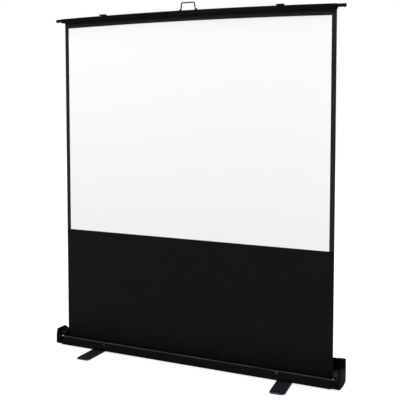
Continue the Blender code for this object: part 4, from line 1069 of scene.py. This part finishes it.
class SCREEN_OT_handle(bpy.types.Operator):
    """Wire carrying handle and its two ears"""

    bl_idname = "screen.handle"
    bl_label = "Handle"

    def execute(self, context):
        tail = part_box("bail_handle")[1].x
        ear_low, ear_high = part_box("bail_ear_right")
        axis_y, axis_z = (ear_low.y + ear_high.y) / 2, ear_low.z + HANDLE_AXIS
        path = rounded([
            (-tail, 0.0), (-HANDLE_BASE, 0.0, HANDLE_BEND),
            (-HANDLE_GRIP, HANDLE_RISE, HANDLE_CORNER), (HANDLE_GRIP, HANDLE_RISE, HANDLE_CORNER),
            (HANDLE_BASE, 0.0, HANDLE_BEND), (tail, 0.0)], 10)
        only()
        curve = bpy.data.curves.new("handle_wire", "CURVE")
        curve.dimensions = "3D"
        curve.bevel_depth = WIRE_RADIUS
        curve.bevel_resolution = 6
        curve.use_fill_caps = True
        line = curve.splines.new("POLY")
        line.points.add(len(path) - 1)
        for point, (x, up) in zip(line.points, path):
            point.co = (x, axis_y - up * math.sin(HANDLE_LEAN),
                        axis_z + up * math.cos(HANDLE_LEAN), 1.0)
        handle = bpy.data.objects.new("handle_wire", curve)
        context.scene.collection.objects.link(handle)
        only(handle)
        bpy.ops.object.convert(target="MESH")
        handle = bpy.context.object
        placed(smooth(handle, 50.0), "bail", dark_wire(), "bail_handle")
        for side in SIDES:
            dressed(f"bail_ear_{side}", f"handle_ear_{side}", "bar",
                    latch_black(), 0.0005)
        return {"FINISHED"}


# Latches

class SCREEN_OT_latches(bpy.types.Operator):
    """Latch straps and hinges on the bar, keepers on the case"""

    bl_idname = "screen.latches"
    bl_label = "Latches"

    def execute(self, context):
        for side in SIDES:
            self.hinge(side)
            self.strap(side)
            dressed(f"latch_keeper_{side}", f"strap_keeper_{side}", "root",
                    keeper_metal(), 0.0004)
        return {"FINISHED"}

    def hinge(self, side):
        node = f"latch_hinge_{side}"
        low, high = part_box(node)
        hinge = eased(copied(node, f"strap_hinge_{side}"), 0.0005)
        profile = [(radius, low.z + RIVET_SEAT + up) for radius, up in RIVET]
        rivets = [turned("rivet", "Z", (low.x + (high.x - low.x) * share, high.y - RIVET_INSET),
                         profile, 28) for share in RIVET_SHARES]
        fused(hinge, *rivets)
        placed(smooth(hinge), "bar", latch_black(), node)

    def strap(self, side):
        node = f"latch_strap_{side}"
        low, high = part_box(node)
        strap = copied(node, f"hook_strap_{side}")
        x = (low.x + high.x) / 2
        left, right = x - WINDOW_HALF, x + WINDOW_HALF
        near, far = (low.y + end for end in WINDOW_ENDS)
        corners = [(left, near, WINDOW_ROUND), (right, near, WINDOW_ROUND),
                   (right, far, WINDOW_ROUND), (left, far, WINDOW_ROUND)]
        cut(strap, pushed("window", rounded(corners, 6), "Z", low.z - OVERRUN, high.z + OVERRUN))
        eased(cleaned(strap), 0.0004)
        placed(strap, f"latch_{side}", latch_black(), node)


# Mast

def tube_profile(outer, wall, low, high):
    """A tube's section with its ends rolled over."""
    inner, low_edge, high_edge = outer - wall, low + TUBE_LIP, high - TUBE_LIP
    return [(outer, low_edge), (outer, high_edge), (outer - TUBE_LIP, high),
            (inner + TUBE_LIP / 2, high), (inner, high_edge), (inner, low_edge),
            (inner + TUBE_LIP / 2, low), (outer - TUBE_LIP, low)]


class SCREEN_OT_mast(bpy.types.Operator):
    """Telescopic tubes, the clevis, root block, head and tongue of the mast"""

    bl_idname = "screen.mast"
    bl_label = "Mast"

    def execute(self, context):
        for name, wall in TUBE_WALLS.items():
            node = f"mast_{name}_tube"
            at, low, high = seat(node)
            profile = tube_profile((high.x - low.x) / 2, wall, low.z, high.z)
            tube = turned(f"drawn_tube_{name}", "Z", at, profile)
            placed(smooth(tube), f"mast_{name}", drawn_aluminium(), node)
        for node, name, body, slot, material, width in (
            ("mast_bracket", "mast_clevis", "root", "zinc_steel", zinc_steel, 0.0006),
            ("mast_root", "mast_foot_block", "mast_outer", "moulded_black", moulded_black,
             0.0008),
            ("mast_head", "mast_top_block", "mast_inner", "moulded_black", moulded_black,
             0.0007),
            ("support_tongue", "folding_tongue", "tongue", "zinc_steel", zinc_steel, 0.0005),
            ("lift_bracket", "bar_shelf", "bar", "zinc_steel", zinc_steel, 0.0005),
        ):
            dressed(node, name, body, material(), width)
        return {"FINISHED"}


class SCREEN_OT_clamps(bpy.types.Operator):
    """Clamp collars and their cam levers"""

    bl_idname = "screen.clamps"
    bl_label = "Clamps"

    def execute(self, context):
        for level, tube in (("lower", "mast_outer"), ("upper", "mast_middle")):
            dressed(f"clamp_collar_{level}", f"tube_collar_{level}", tube,
                    moulded_black(), 0.0007)
            node = f"clamp_lever_{level}"
            low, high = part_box(node)
            lever = copied(node, f"cam_lever_{level}")
            face = high.x if level == "lower" else low.x
            for i in range(RIB_COUNT):
                z = low.z + RIB_START + RIB_PITCH * i
                cut(lever, block("rib", (face - RIB_DEPTH, low.y - OVERRUN, z),
                                 (face + RIB_DEPTH, high.y + OVERRUN, z + RIB_WIDTH)))
            eased(cleaned(lever), 0.0004)
            placed(lever, f"lever_{level}", moulded_black(), node)
        return {"FINISHED"}


# Feet

class SCREEN_OT_feet(bpy.types.Operator):
    """Flat painted feet and their rubber pads"""

    bl_idname = "screen.feet"
    bl_label = "Feet"

    def execute(self, context):
        for side in SIDES:
            body = f"foot_{side}"
            dressed(body, f"flat_foot_{side}", body, foot_paint(), 0.0021, 4, 30.0)
            for end in ("front", "rear"):
                dressed(f"foot_pad_{side}_{end}", f"pad_{side}_{end}", body,
                        pad_rubber(), 0.0006)
        return {"FINISHED"}


class SCREEN_OT_finishes(bpy.types.Operator):
    """Finishes on the solids that are kept as they are"""

    bl_idname = "screen.finishes"
    bl_label = "Finishes"

    def execute(self, context):
        for make, singles, pairs in (
            (zinc_steel, ("spring_spindle", "return_spring", "mast_hinge_pin", "tongue_pin",
                          "clamp_pin_lower", "clamp_pin_upper"),
             ("roller_bracket", "foot_rivet", "latch_pin")),
            (drawn_aluminium, ("roller_tube",), ()),
            (moulded_black, ("fabric_spline",), ("roller_plug", "foot_washer")),
        ):
            for name in (*singles, *(f"{pair}_{side}" for pair in pairs for side in SIDES)):
                data = nodes[name].data
                data.materials.clear()
                data.materials.append(make())
        return {"FINISHED"}


# Stage

class SCREEN_OT_stage(bpy.types.Operator):
    """Camera, soft lamps, white surroundings and the pale floor"""

    bl_idname = "screen.stage"
    bl_label = "Stage"

    def execute(self, context):
        self.camera(context)
        for lamp in LAMPS:
            self.lamp(*lamp)
        self.surroundings(context)
        self.floor()
        context.scene.view_settings.view_transform = "Standard"
        return {"FINISHED"}

    def camera(self, context):
        data = bpy.data.cameras.new("view_camera")
        data.sensor_width = SENSOR
        data.lens = FOCAL_SHARE * SENSOR
        data.shift_y = CAMERA_SHIFT
        data.clip_end = FAR_CLIP
        level = math.cos(CAMERA_PITCH)
        gaze = (-math.sin(CAMERA_YAW) * level, math.cos(CAMERA_YAW) * level,
                -math.sin(CAMERA_PITCH))
        context.scene.camera = self.hung(data, CAMERA_PLACE, Vector(gaze))

    def lamp(self, name, place, size, power):
        data = bpy.data.lights.new(name, "AREA")
        data.shape = "SQUARE"
        data.size = size
        data.energy = power
        self.hung(data, place, LAMP_AIM - Vector(place))

    def hung(self, data, place, gaze):
        """Puts a camera or a lamp in its place, looking along its gaze."""
        made = bpy.data.objects.new(data.name, data)
        bpy.context.scene.collection.objects.link(made)
        made.location = place
        made.rotation_euler = gaze.to_track_quat("-Z", "Y").to_euler()
        return made

    def surroundings(self, context):
        """White where the camera, gloss or glass looks past the object, softer as light."""
        world = bpy.data.worlds.new("white_surroundings")
        context.scene.world = world
        world.use_nodes = True
        tree = world.node_tree
        strength = add(tree, "ShaderNodeMapRange", {0: seen(tree), 3: WORLD_LIGHT, 4: 1.0})
        back = tree.nodes["Background"]
        back.inputs["Color"].default_value = grey(1.0)
        tree.links.new(strength.outputs[0], back.inputs["Strength"])

    def floor(self):
        floor = started("pale_floor", bpy.ops.mesh.primitive_grid_add, x_subdivisions=8,
                        y_subdivisions=8, size=FLOOR_SIZE)
        made = bpy.data.materials.new("pale_floor")
        made.use_nodes = True
        tree = made.node_tree
        shader = tree.nodes["Principled BSDF"]
        cloud = noise(tree, place_of(tree), 3.0, 4.0, 0.6)
        tree.links.new(mixed(tree, cloud, grey(0.34), grey(0.36)), shader.inputs["Base Color"])
        shader.inputs["Roughness"].default_value = 0.9
        shader.inputs["Specular IOR Level"].default_value = 0.1
        glow = add(tree, "ShaderNodeEmission", {"Strength": times(tree, seen(tree), FLOOR_GLOW)})
        both = add(tree, "ShaderNodeAddShader", {0: shader.outputs[0], 1: glow.outputs[0]})
        tree.links.new(both.outputs[0], tree.nodes["Material Output"].inputs["Surface"])
        floor.data.materials.append(made)


class SCREEN_PT_panel(bpy.types.Panel):
    """Lists the steps that dress the screen"""

    bl_idname = "SCREEN_PT_panel"
    bl_label = "Projection Screen"
    bl_space_type = "VIEW_3D"
    bl_region_type = "UI"
    bl_category = "Screen"

    def draw(self, context):
        settings = context.scene.screen_look
        for name in settings.__annotations__:
            self.layout.prop(settings, name)
        for operator in OPERATORS:
            self.layout.operator(operator.bl_idname)


OPERATORS = (SCREEN_OT_stage, SCREEN_OT_cloth, SCREEN_OT_case, SCREEN_OT_caps, SCREEN_OT_bar,
             SCREEN_OT_handle, SCREEN_OT_latches, SCREEN_OT_mast, SCREEN_OT_clamps,
             SCREEN_OT_feet, SCREEN_OT_finishes)
CLASSES = (ScreenLook, *OPERATORS, SCREEN_PT_panel)


def register():
    for cls in CLASSES:
        bpy.utils.register_class(cls)
    bpy.types.Scene.screen_look = bpy.props.PointerProperty(type=ScreenLook)


def unregister():
    del bpy.types.Scene.screen_look
    for cls in reversed(CLASSES):
        bpy.utils.unregister_class(cls)


def main():
    register()
    bpy.ops.screen.stage()
    bpy.ops.screen.cloth()
    bpy.ops.screen.case()
    bpy.ops.screen.caps()
    bpy.ops.screen.bar()
    bpy.ops.screen.handle()
    bpy.ops.screen.latches()
    bpy.ops.screen.mast()
    bpy.ops.screen.clamps()
    bpy.ops.screen.feet()
    bpy.ops.screen.finishes()


if __name__ == "__main__":
    main()
